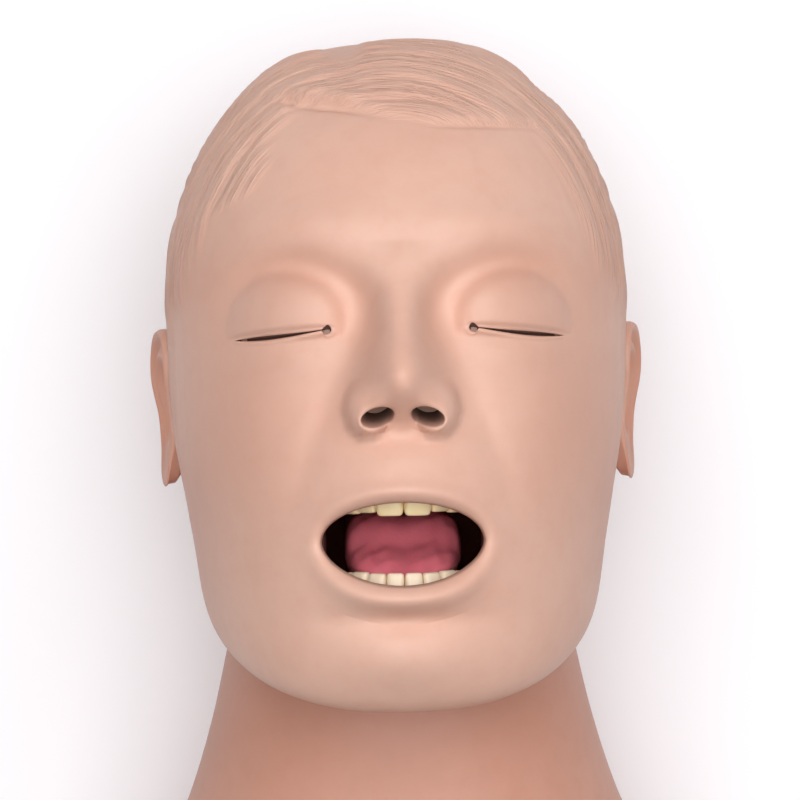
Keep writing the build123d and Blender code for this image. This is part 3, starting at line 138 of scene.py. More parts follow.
# Floor: a matt white sweep under the trainer. A little of its own light for the
# camera keeps it white away from the soft shadow.
FLOOR_SIZE = 6.0
FLOOR_GLOW = 0.11
floor_mesh = bpy.data.meshes.new("floor")
floor_mesh.from_pydata(
    [(x * FLOOR_SIZE / 2, y * FLOOR_SIZE / 2, 0.0) for x, y in ((-1, -1), (1, -1), (1, 1), (-1, 1))],
    [], [(0, 1, 2, 3)],
)
floor = bpy.data.objects.new("floor", floor_mesh)
bpy.context.scene.collection.objects.link(floor)
paper = bpy.data.materials.new("matt_white_paper")
paper.use_nodes = True
tree = paper.node_tree
tree.nodes.clear()
rays = add_node(tree, "ShaderNodeLightPath")
matt = add_node(tree, "ShaderNodeBsdfDiffuse", {"Color": linear("#f4f3f6")})
glow = add_node(tree, "ShaderNodeEmission", {"Color": linear("#fbfaff")})
level = add_node(tree, "ShaderNodeMath", {"operation": "MULTIPLY"})
tree.links.new(rays.outputs["Is Camera Ray"], level.inputs[0])
level.inputs[1].default_value = FLOOR_GLOW
tree.links.new(level.outputs[0], glow.inputs["Strength"])
lit = add_node(tree, "ShaderNodeAddShader")
tree.links.new(matt.outputs[0], lit.inputs[0])
tree.links.new(glow.outputs[0], lit.inputs[1])
add_node(tree, "ShaderNodeOutputMaterial", links={"Surface": lit.outputs[0]})
floor_mesh.materials.append(paper)

# Head skin: one soft vinyl moulding, rotationally cast and pulled over the skull,
# with the face, the ears, the moulded hair and the open mouth all in one wall.
# Rows of the head: height above the ears, tilt, half breadth, back, widest, front.
FAN_Z = 98.0
HEAD_ROWS = np.array([
    (121.4, 0.0, 0.0, 78.5, 78.5, 78.5),
    (120.9, 0.0, 15.0, 62.0, 78.0, 92.0),
    (118.6, 0.0, 28.5, 50.0, 79.0, 106.0),
    (114.2, 0.0, 39.5, 37.0, 81.0, 121.0),
    (106.0, 0.0, 50.0, 25.0, 83.0, 137.0),
    (95.0, 0.0, 59.8, 15.5, 85.0, 150.5),
    (88.0, 0.0, 64.3, 11.0, 86.0, 158.0),
    (78.0, 0.0, 69.3, 6.0, 88.0, 166.0),
    (66.0, 0.0, 73.4, 2.8, 89.0, 173.0),
    (54.0, 0.0, 76.3, 1.2, 90.0, 178.0),
    (42.0, 0.0, 77.6, 0.6, 91.0, 181.0),
    (32.0, 0.0, 77.9, 0.6, 91.0, 180.5),
    (22.0, 1.0, 77.6, 1.0, 91.0, 179.5),
    (12.0, 2.0, 77.2, 1.6, 91.0, 181.0),
    (5.0, 3.0, 77.0, 2.4, 90.5, 183.0),
    (-1.0, 4.5, 76.6, 3.4, 90.0, 185.5),
    (-7.0, 6.0, 76.2, 4.4, 89.5, 187.5),
    (-15.0, 8.0, 75.6, 5.6, 88.5, 190.0),
    (-23.0, 10.0, 74.6, 6.6, 87.0, 190.5),
    (-31.0, 12.5, 73.4, 7.4, 85.0, 189.5),
    (-39.0, 15.0, 72.2, 8.0, 83.0, 188.0),
    (-47.0, 17.5, 71.0, 8.5, 80.5, 186.0),
    (-55.0, 20.0, 70.0, 8.8, 78.5, 183.0),
    (-62.0, 22.0, 69.2, 9.0, 77.0, 178.0),
    (-67.0, 23.5, 68.4, 9.0, 76.0, 170.5),
    (-69.5, 24.0, 67.6, 9.0, 75.5, 162.0),
    (-70.7, 24.0, 66.4, 9.0, 75.0, 152.0),
])


def smooth_rows(rows, run, measured=(0, 2, 5)):
    """Rows in between: a cubic through the rows over the chord length, run from 0 to 1."""
    chord = np.sqrt(np.sum(np.diff(rows[:, measured], axis=0) ** 2, axis=1))
    at = np.concatenate([[0.0], np.cumsum(chord)])
    slope = np.gradient(rows, at, axis=0)
    place = np.clip(run, 0.0, 1.0) * at[-1]
    left = np.clip(np.searchsorted(at, place, side="right") - 1, 0, len(at) - 2)
    length = (at[left + 1] - at[left])[:, None]
    share = ((place - at[left]) / length[:, 0])[:, None]
    return (
        (2 * share ** 3 - 3 * share ** 2 + 1) * rows[left]
        + (share ** 3 - 2 * share ** 2 + share) * length * slope[left]
        + (3 * share ** 2 - 2 * share ** 3) * rows[left + 1]
        + (share ** 3 - share ** 2) * length * slope[left + 1]
    )


DENSE_ROWS = smooth_rows(HEAD_ROWS, np.linspace(0.0, 1.0, 4000))[::-1]


def section_at(rise):
    """Tilt, half breadth, back, widest and front of the section at a rise."""
    return [np.interp(rise, DENSE_ROWS[:, 0], DENSE_ROWS[:, k]) for k in range(1, 6)]


def bell(distance):
    """Smooth hump of height 1: e to the minus distance squared."""
    return np.exp(-distance * distance)


def squareness(rise):
    """Power of the half ovals in front: 1 for a true oval, less for the squarer jaw."""
    return 1.0 - 0.2 * step((-44.0 - rise) / 7.0)


def step(distance):
    """Smooth step from 0 to 1, half way at distance 0."""
    return 1.0 / (1.0 + np.exp(-np.clip(distance, -40.0, 40.0)))


def nose(x, y):
    """Height of the nose: its ridge profile times a bell across, met by two round wings.

    Ridge and wings join as the 2.6th root of the sum of their powers, which rounds the
    valley between them."""
    ridge = np.interp(
        y, [-13.0, -11.0, -8.0, -4.0, 0.0, 3.0, 6.0, 9.0, 14.0, 22.0, 30.0, 38.0, 48.0],
        [0.0, 1.5, 6.5, 15.0, 22.0, 25.4, 26.6, 26.0, 22.6, 15.8, 9.6, 4.2, 0.0],
    )
    width = np.interp(y, [-12.0, 0.0, 8.0, 20.0, 32.0, 48.0], [10.0, 11.5, 11.0, 8.6, 8.0, 11.0])
    middle = ridge * np.exp(-(np.abs(x) / width) ** 2.3)
    reach = ((np.abs(x) - 10.6) / 7.4) ** 2 + ((y + 3.6) / 9.4) ** 2
    wing = 14.0 * np.clip(1 - reach ** 1.25, 0, 1) ** 0.55
    return (middle ** 2.6 + wing ** 2.6) ** (1 / 2.6)


def face(x, y):
    """Height of the face's features over the plain head, at x and y from the ear axis.

    Each feature is a bell or a smooth step across times one along, and they add up."""
    side = np.abs(x)
    lips = 8.0 * bell(x / 24) * step((-12 - y) / 3) * step((y + 66) / 3)
    chin = 5.0 * bell(x / 20) * bell((y + 80) / 10)
    fold = -3.2 * bell(x / 22) * bell((y + 68.5) / 4)
    philtrum = -0.9 * bell(x / 3.2) * step((-15 - y) / 2) * step((y + 28) / 2)
    arc = np.sqrt(((side - 35) / 1.15) ** 2 + (y - 20) ** 2)
    socket = -4.0 * bell((arc - 21.5) / 5.0) * step((y - 22) / 4) * step((54 - side) / 4)
    corner = -1.2 * bell((side - 15.5) / 5) * bell((y - 29) / 12)
    dome = 6.4 * np.clip(1 - (((side - 36) / 19) ** 2 + ((y - 22) / 17) ** 2), 0, 1) ** 0.75
    lid = dome * step((y - 19.5) / 0.9)
    below = 3.4 * bell((side - 37) / 17) * bell((y - 13) / 8) * step((20.5 - y) / 0.9)
    brow = 2.6 * bell((side - 30) / 24) * bell((y - 54) / 7)
    cheek = 3.2 * bell((side - 44) / 17) * bell((y + 4) / 17)
    crease = -1.3 * bell((side - 26 - (-10 - y) * 0.35) / 5) * step((2 - y) / 5) * step((y + 36) / 6)
    temple = -1.4 * bell((side - 62) / 12) * bell((y - 44) / 18)
    total = lips + chin + fold + philtrum + socket + corner + lid + below + brow + cheek
    return total + crease + temple + nose(x, y)


def front_height(x, y):
    """Height of the face over (x, y): the tilted section that passes there, found by halving."""
    low, high = y + 0.0, y + 50.0
    for _ in range(36):
        rise = (low + high) / 2
        tilt, half, _, widest, front = section_at(rise)
        arch = np.sqrt(np.clip(1 - np.abs(x / half) ** (2 / squareness(rise)), 0.0, 1.0))
        plain = widest + (front - widest) * arch
        over = rise - (plain - FAN_Z) * np.tan(np.radians(tilt)) > y
        high = np.where(over, rise, high)
        low = np.where(over, low, rise)
    return plain + face(x, y) * np.sqrt(arch)


# Hair: locks swept from the left of the parting over the brow to the right, and
# combed down at the temples, all in relief on the same wall.
FRINGE = np.array([(-60.0, 99.0), (-34.0, 95.0), (-19.0, 93.0), (-1.0, 88.4), (12.0, 85.8), (44.0, 86.6)])
TEMPLE_LEFT = np.array([
    (27.0, 75.0), (35.0, 69.0), (49.0, 65.0), (58.0, 60.0), (64.0, 50.0), (68.0, 44.5), (78.0, 41.0),
    (84.0, 40.0), (90.0, 34.0),
])
TEMPLE_RIGHT = np.array([
    (27.0, 76.0), (35.0, 70.0), (44.0, 65.0), (54.0, 60.5), (62.0, 58.0), (71.0, 53.5), (81.0, 48.0),
    (90.0, 44.0),
])


def strand_run(x, y, z):
    """Distance across the strands: rings round a point over the brow, drawn on over the crown."""
    return np.hypot(x + 5, np.maximum(y - 40, 0.0)) - 0.5 * z


def hair_inside(x, y, z):
    """Distance inside the hair's edge, rough, with a ragged fringe and combed temples."""
    run = strand_run(x, y, z)
    ragged = 1.6 * np.sin(run * 1.1) + 1.2 * np.sin(run * 0.47 + 1.0)
    left_edge = np.interp(y, TEMPLE_LEFT[:, 0], TEMPLE_LEFT[:, 1])
    right_edge = np.interp(y, TEMPLE_RIGHT[:, 0], TEMPLE_RIGHT[:, 1])
    out_side = np.where(x < 0, -x - left_edge, x - right_edge) + 0.5 * ragged
    over_brow = y - np.interp(x, FRINGE[:, 0], FRINGE[:, 1]) + 0.25 * ragged * bell((x + 32) / 14)
    inside = np.maximum(over_brow, out_side * 0.8)
    behind_ear = np.maximum(inside, (y + 8 - (100 - z) * 0.5) * 0.4)
    return np.where(z < 100, behind_ear, inside)


def hair_mask(x, y, z):
    """1 in the hair and 0 on bare skin."""
    return step(hair_inside(x, y, z) / 0.8) * step((y + 34) / 3)


def hair_relief(x, y, z):
    """Height of the hair: its edge, two big locks with a parting, and low ridges.

    The ridges are three waves across the strands, each a sine of the distance across
    them, swayed a little and grown and faded by a slower wave, so that locks form."""
    inside = hair_inside(x, y, z)
    run = strand_run(x, y, z)
    edge = 1.0 + 1.3 * bell((x + 27) / 17) * bell((y - 96) / 10) + 0.5 * bell((x - 30) / 20)
    thick = edge * step(inside / 0.8) - 1.3 * step((inside - 12) / 5)
    parting = -1.8 * bell((x + 17) / 6.0) * step((y - 104) / 3)
    big = 1.3 * bell((x - 12) / 26) * step((y - 98) / 5) + 1.1 * bell((x + 36) / 13) * step((y - 96) / 6)
    right_notch = -1.1 * bell((x - 50) / 6) * step((y - 92) / 4)
    sway = 1.3 * np.sin(0.06 * x + 0.03 * z) + 0.9 * np.sin(0.13 * x - 0.05 * z + run * 0.11)
    lock = 0.55 + 0.45 * np.sin(run * 0.31 + 0.07 * x - 0.03 * z + 0.6)
    ridges = 0.62 * lock * np.sin(run * 0.62 + sway) + 0.36 * np.sin(run * 1.25 + 1.6 * sway + 1)
    ridges += 0.26 * (1.3 - lock) * np.sin(run * 2.3 - 1.2 * sway + 2)
    over_brow = y - np.interp(x, FRINGE[:, 0], FRINGE[:, 1])
    groove = -2.3 * bell((over_brow + 0.2) / 1.3) * bell((x + 22) / 15)
    groove -= 1.7 * bell((over_brow + 0.1) / 0.9) * step((x - 12) / 4) * step((46 - x) / 2)
    groove += 1.1 * bell((over_brow - 3.2) / 2.0) * bell((x + 20) / 18)
    height = thick + big + right_notch + ridges * step((inside - 1.5) / 1.2) + parting
    # On the crown the wall is thin over the skull, so nothing sinks far in there
    height = np.maximum(height, 0.15 - 2.15 * step((110 - y) / 2.5))
    return (height * step((y + 34) / 3) + groove * (z > 110)) * np.clip((z - 6) / 14, 0.0, 1.0)


def grid_faces(rows, columns, around=False):
    """Quads of a grid of points in rows; around joins the last column to the first."""
    r = np.arange(rows - 1)[:, None]
    c = np.arange(columns if around else columns - 1)[None, :]
    nxt = (c + 1) % columns
    quads = np.stack([r * columns + c, r * columns + nxt, (r + 1) * columns + nxt, (r + 1) * columns + c], -1)
    return quads.reshape(-1, 4)


def make_piece(name, points, faces, material, values=None):
    """Smooth mesh object in metres from points in mm from the base, and named point values."""
    mesh = bpy.data.meshes.new(name)
    used, new = np.unique(np.concatenate([np.ravel(f) for f in faces]), return_inverse=True)
    kept = points[used] * MM
    counts = np.concatenate([np.full(len(f), f.shape[1]) for f in faces])
    starts = np.concatenate([[0], np.cumsum(counts)[:-1]])
    mesh.vertices.add(len(kept))
    mesh.vertices.foreach_set("co", kept.ravel())
    mesh.loops.add(len(new))
    mesh.loops.foreach_set("vertex_index", new.ravel().astype(np.int32))
    mesh.polygons.add(len(counts))
    mesh.polygons.foreach_set("loop_start", starts.astype(np.int32))
    mesh.polygons.foreach_set("use_smooth", np.ones(len(counts), dtype=bool))
    mesh.update(calc_edges=True)
    mesh.validate()
    for key, value in (values or {}).items():
        kind, field = ("FLOAT", "value") if value.ndim == 1 else ("FLOAT_VECTOR", "vector")
        layer = mesh.attributes.new(key, kind, "POINT")
        layer.data.foreach_set(field, value[used].ravel().astype(np.float32))
    mesh.materials.append(material)
    piece = bpy.data.objects.new(name, mesh)
    bpy.context.scene.collection.objects.link(piece)
    return piece


def vinyl(name, skin, flush_and_painted_shade, shade, strands=False):
    """Soft plasticised vinyl: satin, slightly translucent, mottled by age, with a fine cast grain."""
    material = bpy.data.materials.new(name)
    material.use_nodes = True
    tree = material.node_tree
    shader = tree.nodes["Principled BSDF"]
    place = add_node(tree, "ShaderNodeTexCoord").outputs["Object"]
    clouds = add_node(
        tree, "ShaderNodeTexNoise", {"Scale": 22.0, "Detail": 3.0, "Roughness": 0.55}, {"Vector": place}
    )
    spots = add_node(
        tree, "ShaderNodeTexNoise", {"Scale": 140.0, "Detail": 2.0, "Roughness": 0.6}, {"Vector": place}
    )
    cloud_share = add_node(
        tree, "ShaderNodeMapRange", {"From Min": 0.35, "From Max": 0.7, "To Min": 0.0, "To Max": 0.45},
        {"Value": clouds.outputs["Fac"]},
    )
    spot_share = add_node(
        tree, "ShaderNodeMapRange", {"From Min": 0.45, "From Max": 0.8, "To Min": 0.0, "To Max": 0.22},
        {"Value": spots.outputs["Fac"]},
    )
    # The tone attribute mixes in the flush colour: a redder tone of the vinyl, and painted shade where its
    # mask says so.
    tone = add_node(tree, "ShaderNodeAttribute", {"attribute_name": "tone"})
    base = add_node(
        tree, "ShaderNodeMix", {"data_type": "RGBA", "clamp_factor": True}, {"Factor": tone.outputs["Fac"]}
    )
    base.inputs[6].default_value = linear(skin)
    base.inputs[7].default_value = linear(flush_and_painted_shade)
    mottled = add_node(
        tree, "ShaderNodeMix", {"data_type": "RGBA"}, {"Factor": cloud_share.outputs["Result"]}
    )
    tree.links.new(base.outputs[2], mottled.inputs[6])
    mottled.inputs[7].default_value = linear(shade)
    speckled = add_node(
        tree, "ShaderNodeMix", {"data_type": "RGBA"}, {"Factor": spot_share.outputs["Result"]}
    )
    tree.links.new(mottled.outputs[2], speckled.inputs[6])
    speckled.inputs[7].default_value = linear(flush_and_painted_shade)
    # Painted shade: the dark attribute mixes a dark brown into the walls of the mouth, the eye cuts and the
    # nostrils, more with depth.
    dark = add_node(tree, "ShaderNodeAttribute", {"attribute_name": "dark"})
    painted_shade_mix = add_node(tree, "ShaderNodeMix", {"data_type": "RGBA"}, {"Factor": dark.outputs["Fac"]})
    tree.links.new(speckled.outputs[2], painted_shade_mix.inputs[6])
    painted_shade_mix.inputs[7].default_value = linear("#381911")
    tree.links.new(painted_shade_mix.outputs[2], shader.inputs["Base Color"])
    # Cast grain of about 0.4 mm, drawn as coarse as it needs to show
    grain = add_node(tree, "ShaderNodeTexNoise", {"Scale": 2200.0, "Detail": 1.0}, {"Vector": place})
    bump = add_node(
        tree, "ShaderNodeBump", {"Strength": 0.06, "Distance": 0.0003}, {"Height": grain.outputs["Fac"]}
    )
    if strands:
        # Fine strands about 0.8 mm apart run along the locks
        run = add_node(tree, "ShaderNodeAttribute", {"attribute_name": "strand"})
        stretched = add_node(
            tree, "ShaderNodeMapping", {"Scale": (1.1, 0.055, 1.0)}, {"Vector": run.outputs["Vector"]}
        )
        combed = add_node(
            tree, "ShaderNodeTexNoise", {"Scale": 1.0, "Detail": 3.0, "Roughness": 0.6},
            {"Vector": stretched.outputs[0]},
        )
        hair = add_node(tree, "ShaderNodeAttribute", {"attribute_name": "hair"})
        strength = add_node(tree, "ShaderNodeMath", {"operation": "MULTIPLY"})
        tree.links.new(hair.outputs["Fac"], strength.inputs[0])
        strength.inputs[1].default_value = 0.75
        relief = add_node(
            tree, "ShaderNodeBump", {"Distance": 0.0012},
            {"Height": combed.outputs["Fac"], "Strength": strength.outputs[0], "Normal": bump.outputs[0]},
        )
        bump = relief
    tree.links.new(bump.outputs[0], shader.inputs["Normal"])
    shader.inputs["Roughness"].default_value = 0.46
    shader.inputs["IOR"].default_value = 1.5
    shader.inputs["Specular IOR Level"].default_value = 0.4
    shader.inputs["Subsurface Weight"].default_value = 0.12
    shader.inputs["Subsurface Radius"].default_value = (1.0, 0.45, 0.3)
    shader.inputs["Subsurface Scale"].default_value = 0.004
    return material


skin_vinyl = vinyl("cast_skin_vinyl", "#deb3a0", "#cd9681", "#d3a08c", strands=True)

# The grid of the head: rings from the crown to the rim under the jaw, closer
# over the face, and points close together in front and sparse behind.
RINGS = 236
FRONT_POINTS = 176
BACK_POINTS = 70
SKIN_WALL = 3.0
ring_run = np.linspace(0.0, 1.0, RINGS)
ring_rows = smooth_rows(HEAD_ROWS, ring_run)
even = np.linspace(0.0, 1.0, FRONT_POINTS, endpoint=False)
front_angle = 0.5 * np.pi * even + 0.5 * np.arccos(1 - 2 * even)
back_angle = np.pi + np.pi * np.linspace(0.0, 1.0, BACK_POINTS, endpoint=False)
head_angle = np.concatenate([front_angle, back_angle])
COLUMNS = len(head_angle)


def plain_head(rows, angle, inset=0.0):
    """Points of the plain head: half ovals in front and behind on tilted planes."""
    rise, tilt, half, back, widest, front = [rows[:, k][:, None] for k in range(6)]
    half = np.maximum(half - inset, 0.0)
    up = np.sin(angle)[None, :]
    reach = np.where(up > 0, front - widest, widest - back)
    reach = np.maximum(reach - inset, 0.0) * up
    across = np.cos(angle)[None, :]
    power = np.where(up > 0, squareness(rise), 1.0)
    x = half * np.sign(across) * np.abs(across) ** power
    z = widest + reach
    y = rise - (z - FAN_Z) * np.tan(np.radians(tilt))
    return np.stack([x, y + 0 * x, z], -1)


def grid_normals(points):
    """Outward normals of a closed ring grid, from the differences along rings and between rings."""
    along = np.roll(points, -1, axis=1) - np.roll(points, 1, axis=1)
    down = np.gradient(points, axis=0)
    normal = np.cross(along, down)
    return normal / np.maximum(np.linalg.norm(normal, axis=-1, keepdims=True), 1e-9)


def head_surface(rows, angle):
    """The head with its face raised along Z and its hair raised along the normal."""
    points = plain_head(rows, angle)
    up = np.clip(np.sin(angle), 0.0, 1.0)[None, :]
    raised = points.copy()
    raised[..., 2] += face(points[..., 0], points[..., 1]) * np.sqrt(up)
    normal = grid_normals(points)
    hair = hair_relief(points[..., 0], points[..., 1], points[..., 2])
    return raised + normal * hair[..., None]


skin_points = head_surface(ring_rows, head_angle)
skin_points[0] = skin_points[0].mean(axis=0)
skin_faces = grid_faces(RINGS, COLUMNS, around=True)
flat_points = skin_points.reshape(-1, 3)

# Openings in the face: their outer ovals, where the finer rings of points round
# each opening meet the grid, as x, y, half breadth and half height.
MOUTH_OVAL = (-0.4, -44.6, 36.5, 25.5)
EYE_OVALS = [(side * 37.5, 19.6, 19.5, 6.2) for side in (-1, 1)]
NOSTRIL_OVALS = [(side * 7.5, -6.4, 6.5, 4.8) for side in (-1, 1)]


def oval_reach(points, oval):
    """Share of the way from an oval's middle to its rim, seen from in front."""
    x, y, half, height = oval
    return np.sqrt(((points[:, 0] - x) / half) ** 2 + ((points[:, 1] - y) / height) ** 2)


in_front = flat_points[:, 2] > 120
for oval in [MOUTH_OVAL] + EYE_OVALS + NOSTRIL_OVALS:
    reach = oval_reach(flat_points, oval)
    inside = (reach[skin_faces].mean(axis=1) < 1.0) & in_front[skin_faces].all(axis=1)
    rim = np.intersect1d(skin_faces[inside], skin_faces[~inside])
    skin_faces = skin_faces[~inside]
    middle = np.array(oval[:2])
    flat_points[rim, :2] = middle + (flat_points[rim, :2] - middle) / reach[rim][:, None]
    flat_points[rim, 2] = front_height(flat_points[rim, 0], flat_points[rim, 1])


def opening_rings(inner, oval, count):
    """Rings of x, y and height from an outer oval in to an opening's edge, and their distance to it."""
    turn = np.linspace(0.0, 2 * np.pi, len(inner), endpoint=False)
    x, y, half, height = oval
    outer = np.stack([x + half * np.cos(turn), y + height * np.sin(turn)], -1)
    share = np.linspace(0.0, 1.0, count)[:, None, None]
    share = 1 - (1 - share) ** 1.6
    flat = outer[None] * (1 - share) + inner[None] * share
    gap = np.linalg.norm(flat - inner[None], axis=-1)
    return flat, front_height(flat[..., 0], flat[..., 1]), gap


def outward(loop):
    """Unit normals pointing out of a closed flat loop that runs anticlockwise."""
    along = np.roll(loop, -1, axis=0) - np.roll(loop, 1, axis=0)
    out = np.stack([along[:, 1], -along[:, 0]], -1)
    return out / np.maximum(np.linalg.norm(out, axis=1, keepdims=True), 1e-9)


def grid_part(rings, around=True):
    """Points and faces of a grid of points in rings."""
    return rings.reshape(-1, 3), grid_faces(rings.shape[0], rings.shape[1], around=around)


def add_opening(rings, wall, darkest_painted_shade):
    """Add an opening's rings to the skin; its wall, the last rings, gets painted shade that darkens with
    depth.
    """
    dark = np.concatenate([np.zeros(len(rings) - wall), np.linspace(0.15, darkest_painted_shade, wall)])
    skin_painted_shade.append(np.repeat(dark, rings.shape[1]))
    skin_parts.append(grid_part(rings))


skin_parts = [(flat_points, skin_faces)]
skin_painted_shade = [np.zeros(len(flat_points))]

# Mouth: an opening cut in the same vinyl. The lips roll in over its edge and run
# back as a wall with painted shade that darkens with depth.
MOUTH_X = -0.4
MOUTH_Y = -44.8
MOUTH_HALF = 25.6
MOUTH_UP = 13.0
MOUTH_DOWN = 13.6
LIP_POINTS = 176
LIP_WALL = [(-0.45, 1.6), (-0.65, 3.6), (-0.4, 6.5), (0.6, 10.0), (2.6, 13.5), (5.4, 16.0)]
turn = np.linspace(0.0, 2 * np.pi, LIP_POINTS, endpoint=False)
rise = np.where(
    np.sin(turn) > 0, MOUTH_UP * np.abs(np.sin(turn)), -MOUTH_DOWN * np.abs(np.sin(turn)) ** 1.12
)
mouth_edge = np.stack([MOUTH_X + MOUTH_HALF * np.cos(turn), MOUTH_Y + rise], -1)
flat, height, gap = opening_rings(mouth_edge, MOUTH_OVAL, 26)
upper = step((flat[..., 1] - MOUTH_Y) / 3)
lip = 1.5 * bell((gap - 3.4) / 2.6) * upper + 2.4 * bell((gap - 4.4) / 3.4) * (1 - upper)
lip *= step((25.5 - np.abs(flat[..., 0] - MOUTH_X)) / 3)
roll_in = -2.4 * np.exp(-gap / 1.5)
rings = np.concatenate([flat, (height + lip + roll_in)[..., None]], -1)
out = outward(mouth_edge)
edge_z = rings[-1, :, 2]
lower = [np.concatenate([mouth_edge + out * way, (edge_z - deep)[:, None]], -1) for way, deep in LIP_WALL]
add_opening(np.concatenate([rings, np.stack(lower)]), len(lower), 0.75)

# Eyes: a knife cut along each pair of closed lids, and a small round hole punched
# at its inner end.
SLIT_INNER_X = 22.8
SLIT_OUTER_X = 52.0
SLIT_INNER_Y = 21.0
SLIT_OUTER_Y = 18.4
HOLE_RADIUS = 1.45
EYE_POINTS = 200
for side, oval in zip((-1, 1), EYE_OVALS):
    turn = np.linspace(0.0, 2 * np.pi, EYE_POINTS, endpoint=False)
    half_length = (SLIT_OUTER_X - SLIT_INNER_X + HOLE_RADIUS) / 2
    away = SLIT_OUTER_X - half_length + half_length * side * np.cos(turn)
    along = np.clip((away - SLIT_INNER_X) / (SLIT_OUTER_X - SLIT_INNER_X), 0, 1)
    hole = np.sqrt(np.clip(HOLE_RADIUS ** 2 - (away - SLIT_INNER_X) ** 2, 0, None))
    cut = (0.12 + 0.55 * np.sin(np.pi * along ** 1.5)) * np.sqrt(np.clip((SLIT_OUTER_X - away) / 2, 0, 1))
    half_gap = np.maximum(hole, cut * step((away - SLIT_INNER_X - 1) / 0.2))
    line = SLIT_INNER_Y + (SLIT_OUTER_Y - SLIT_INNER_Y) * along - 0.5 * np.sin(np.pi * along)
    inner = np.stack([side * away, line + np.sign(np.sin(turn)) * half_gap], -1)
    flat, height, gap = opening_rings(inner, oval, 20)
    over = step((flat[..., 1] - line[None]) / 0.3)
    reach = oval_reach(flat.reshape(-1, 2), oval).reshape(gap.shape)
    fade = 1 - np.clip(reach, 0, 1) ** 4
    fold = -1.0 * bell((gap - 0.9) / 1.0) * over + 0.5 * bell((gap - 0.9) / 0.7) * (1 - over)
    height = height + (fold - 0.9 * np.exp(-gap / 0.35)) * fade
    rings = np.concatenate([flat, height[..., None]], -1)
    floor = np.stack([inner[:, 0], line], -1)
    lower = [np.concatenate([inner, (height[-1] - deep)[:, None]], -1) for deep in (0.5, 1.6, 3.0)]
    lower.append(np.concatenate([floor, (height[-1] - 3.0)[:, None]], -1))
    # The cut's wall and floor get painted shade, darkest at the bottom.
    add_opening(np.concatenate([rings, np.stack(lower)]), len(lower), 1.0)

# Nostrils: oval holes in the underside of the nose that lead up to the soft tubes
# of the nasal passages.
NOSTRIL_POINTS = 80
NOSTRIL_WALL = [(0.98, 1.2), (0.96, 3.0), (0.9, 6.0), (0.82, 10.0), (0.76, 15.0)]
for side, oval in zip((-1, 1), NOSTRIL_OVALS):
    turn = np.linspace(0.0, 2 * np.pi, NOSTRIL_POINTS, endpoint=False)
    lean = -0.9 * side * np.cos(turn)
    inner = np.stack([side * 7.6 + 5.1 * np.cos(turn), -6.4 + 3.1 * np.sin(turn) + lean], -1)
    flat, height, gap = opening_rings(inner, oval, 12)
    height = height - 0.9 * np.exp(-gap / 0.5)
    rings = np.concatenate([flat, height[..., None]], -1)
    middle = rings[-1].mean(axis=0)
    lower = []
    for share, deep in NOSTRIL_WALL:
        ring = middle + (rings[-1] - middle) * share
        level = min(deep / 8, 1.0)
        ring[:, 2] = rings[-1, :, 2] * (1 - level) + middle[2] * level - deep
        ring[:, 1] += 0.25 * deep
        lower.append(ring)
    # The nostril's wall gets painted shade, darkest deep inside.
    add_opening(np.concatenate([rings, np.stack(lower)]), len(lower), 1.0)

# Ears: cast in one with the head skin. Each is a dished shell with a rolled rim, an
# inner fold and a root that is sunk in the side of the head.
EAR_X = 79.5
EAR_Z = 88.0
EAR_SPLAY = math.radians(15.0)
EAR_CENTRE = np.array([3.0, -2.0])
EAR_RIM = np.array([
    (24.5, 0.0), (21.5, -9.0), (9.0, -14.5), (-7.0, -12.0), (-18.0, -9.0),
    (-28.5, -3.0), (-27.5, 5.0), (-15.0, 8.5), (0.0, 9.5), (12.0, 12.0), (21.5, 8.5),
])
# Share of the way from the ear's middle to its rim, and height, from the root to the hollow
EAR_PROFILE = np.array([
    (0.60, -12.0), (0.70, -8.0), (0.86, -4.6), (0.965, -2.4), (1.0, -0.2), (0.99, 1.7), (0.945, 2.9),
    (0.88, 2.5), (0.81, 1.0), (0.74, 0.5), (0.66, 1.5), (0.58, 1.9), (0.50, 0.6), (0.38, -2.0),
    (0.2, -3.4), (0.0, -3.6),
])
EAR_POINTS = 120
EAR_ROWS = 60
EAR_REACH = 20.0


def closed_curve(points, count):
    """Smooth closed curve through points, as a cubic with mean slopes."""
    place = np.linspace(0.0, len(points), count, endpoint=False)
    at = place.astype(int)
    share = (place - at)[:, None]
    before, first, second, after = [points[(at + k) % len(points)] for k in (-1, 0, 1, 2)]
    slope_in = (second - before) / 2
    slope_out = (after - first) / 2
    return (
        (2 * share ** 3 - 3 * share ** 2 + 1) * first + (share ** 3 - 2 * share ** 2 + share) * slope_in
        + (3 * share ** 2 - 2 * share ** 3) * second + (share ** 3 - share ** 2) * slope_out
    )


ear_rows = smooth_rows(EAR_PROFILE * [EAR_REACH, 1.0], np.linspace(0.0, 1.0, EAR_ROWS), measured=(0, 1))
ear_rim = closed_curve(EAR_RIM, EAR_POINTS)
for side in (-1, 1):
    spread = ear_rows[:, 0, None, None] / EAR_REACH
    flat = EAR_CENTRE + (ear_rim - EAR_CENTRE)[None] * spread
    lift = np.broadcast_to(ear_rows[:, 1, None], flat.shape[:2]).copy()
    # The lobe is flat, and the fold runs only along the back of the hollow
    lobe = step((-14 - flat[..., 0]) / 2.5)
    lift = np.where(lift > -2.3, lift * (1 - 0.75 * lobe) + 0.6 * lobe, lift)
    normal = np.array([side * math.cos(EAR_SPLAY), 0.0, math.sin(EAR_SPLAY)])
    forward = np.array([-side * math.sin(EAR_SPLAY), 0.0, math.cos(EAR_SPLAY)])
    waist = -side * 2.6 * bell((flat[..., :1] + 8) / 12)
    ear = (
        np.array([side * EAR_X, 0.0, EAR_Z]) + flat[..., :1] * [0.0, 1.0, 0.0] + waist * [1.0, 0.0, 0.0]
        + flat[..., 1:] * forward + lift[..., None] * normal
    )
    skin_parts.append(grid_part(ear if side < 0 else ear[:, ::-1]))

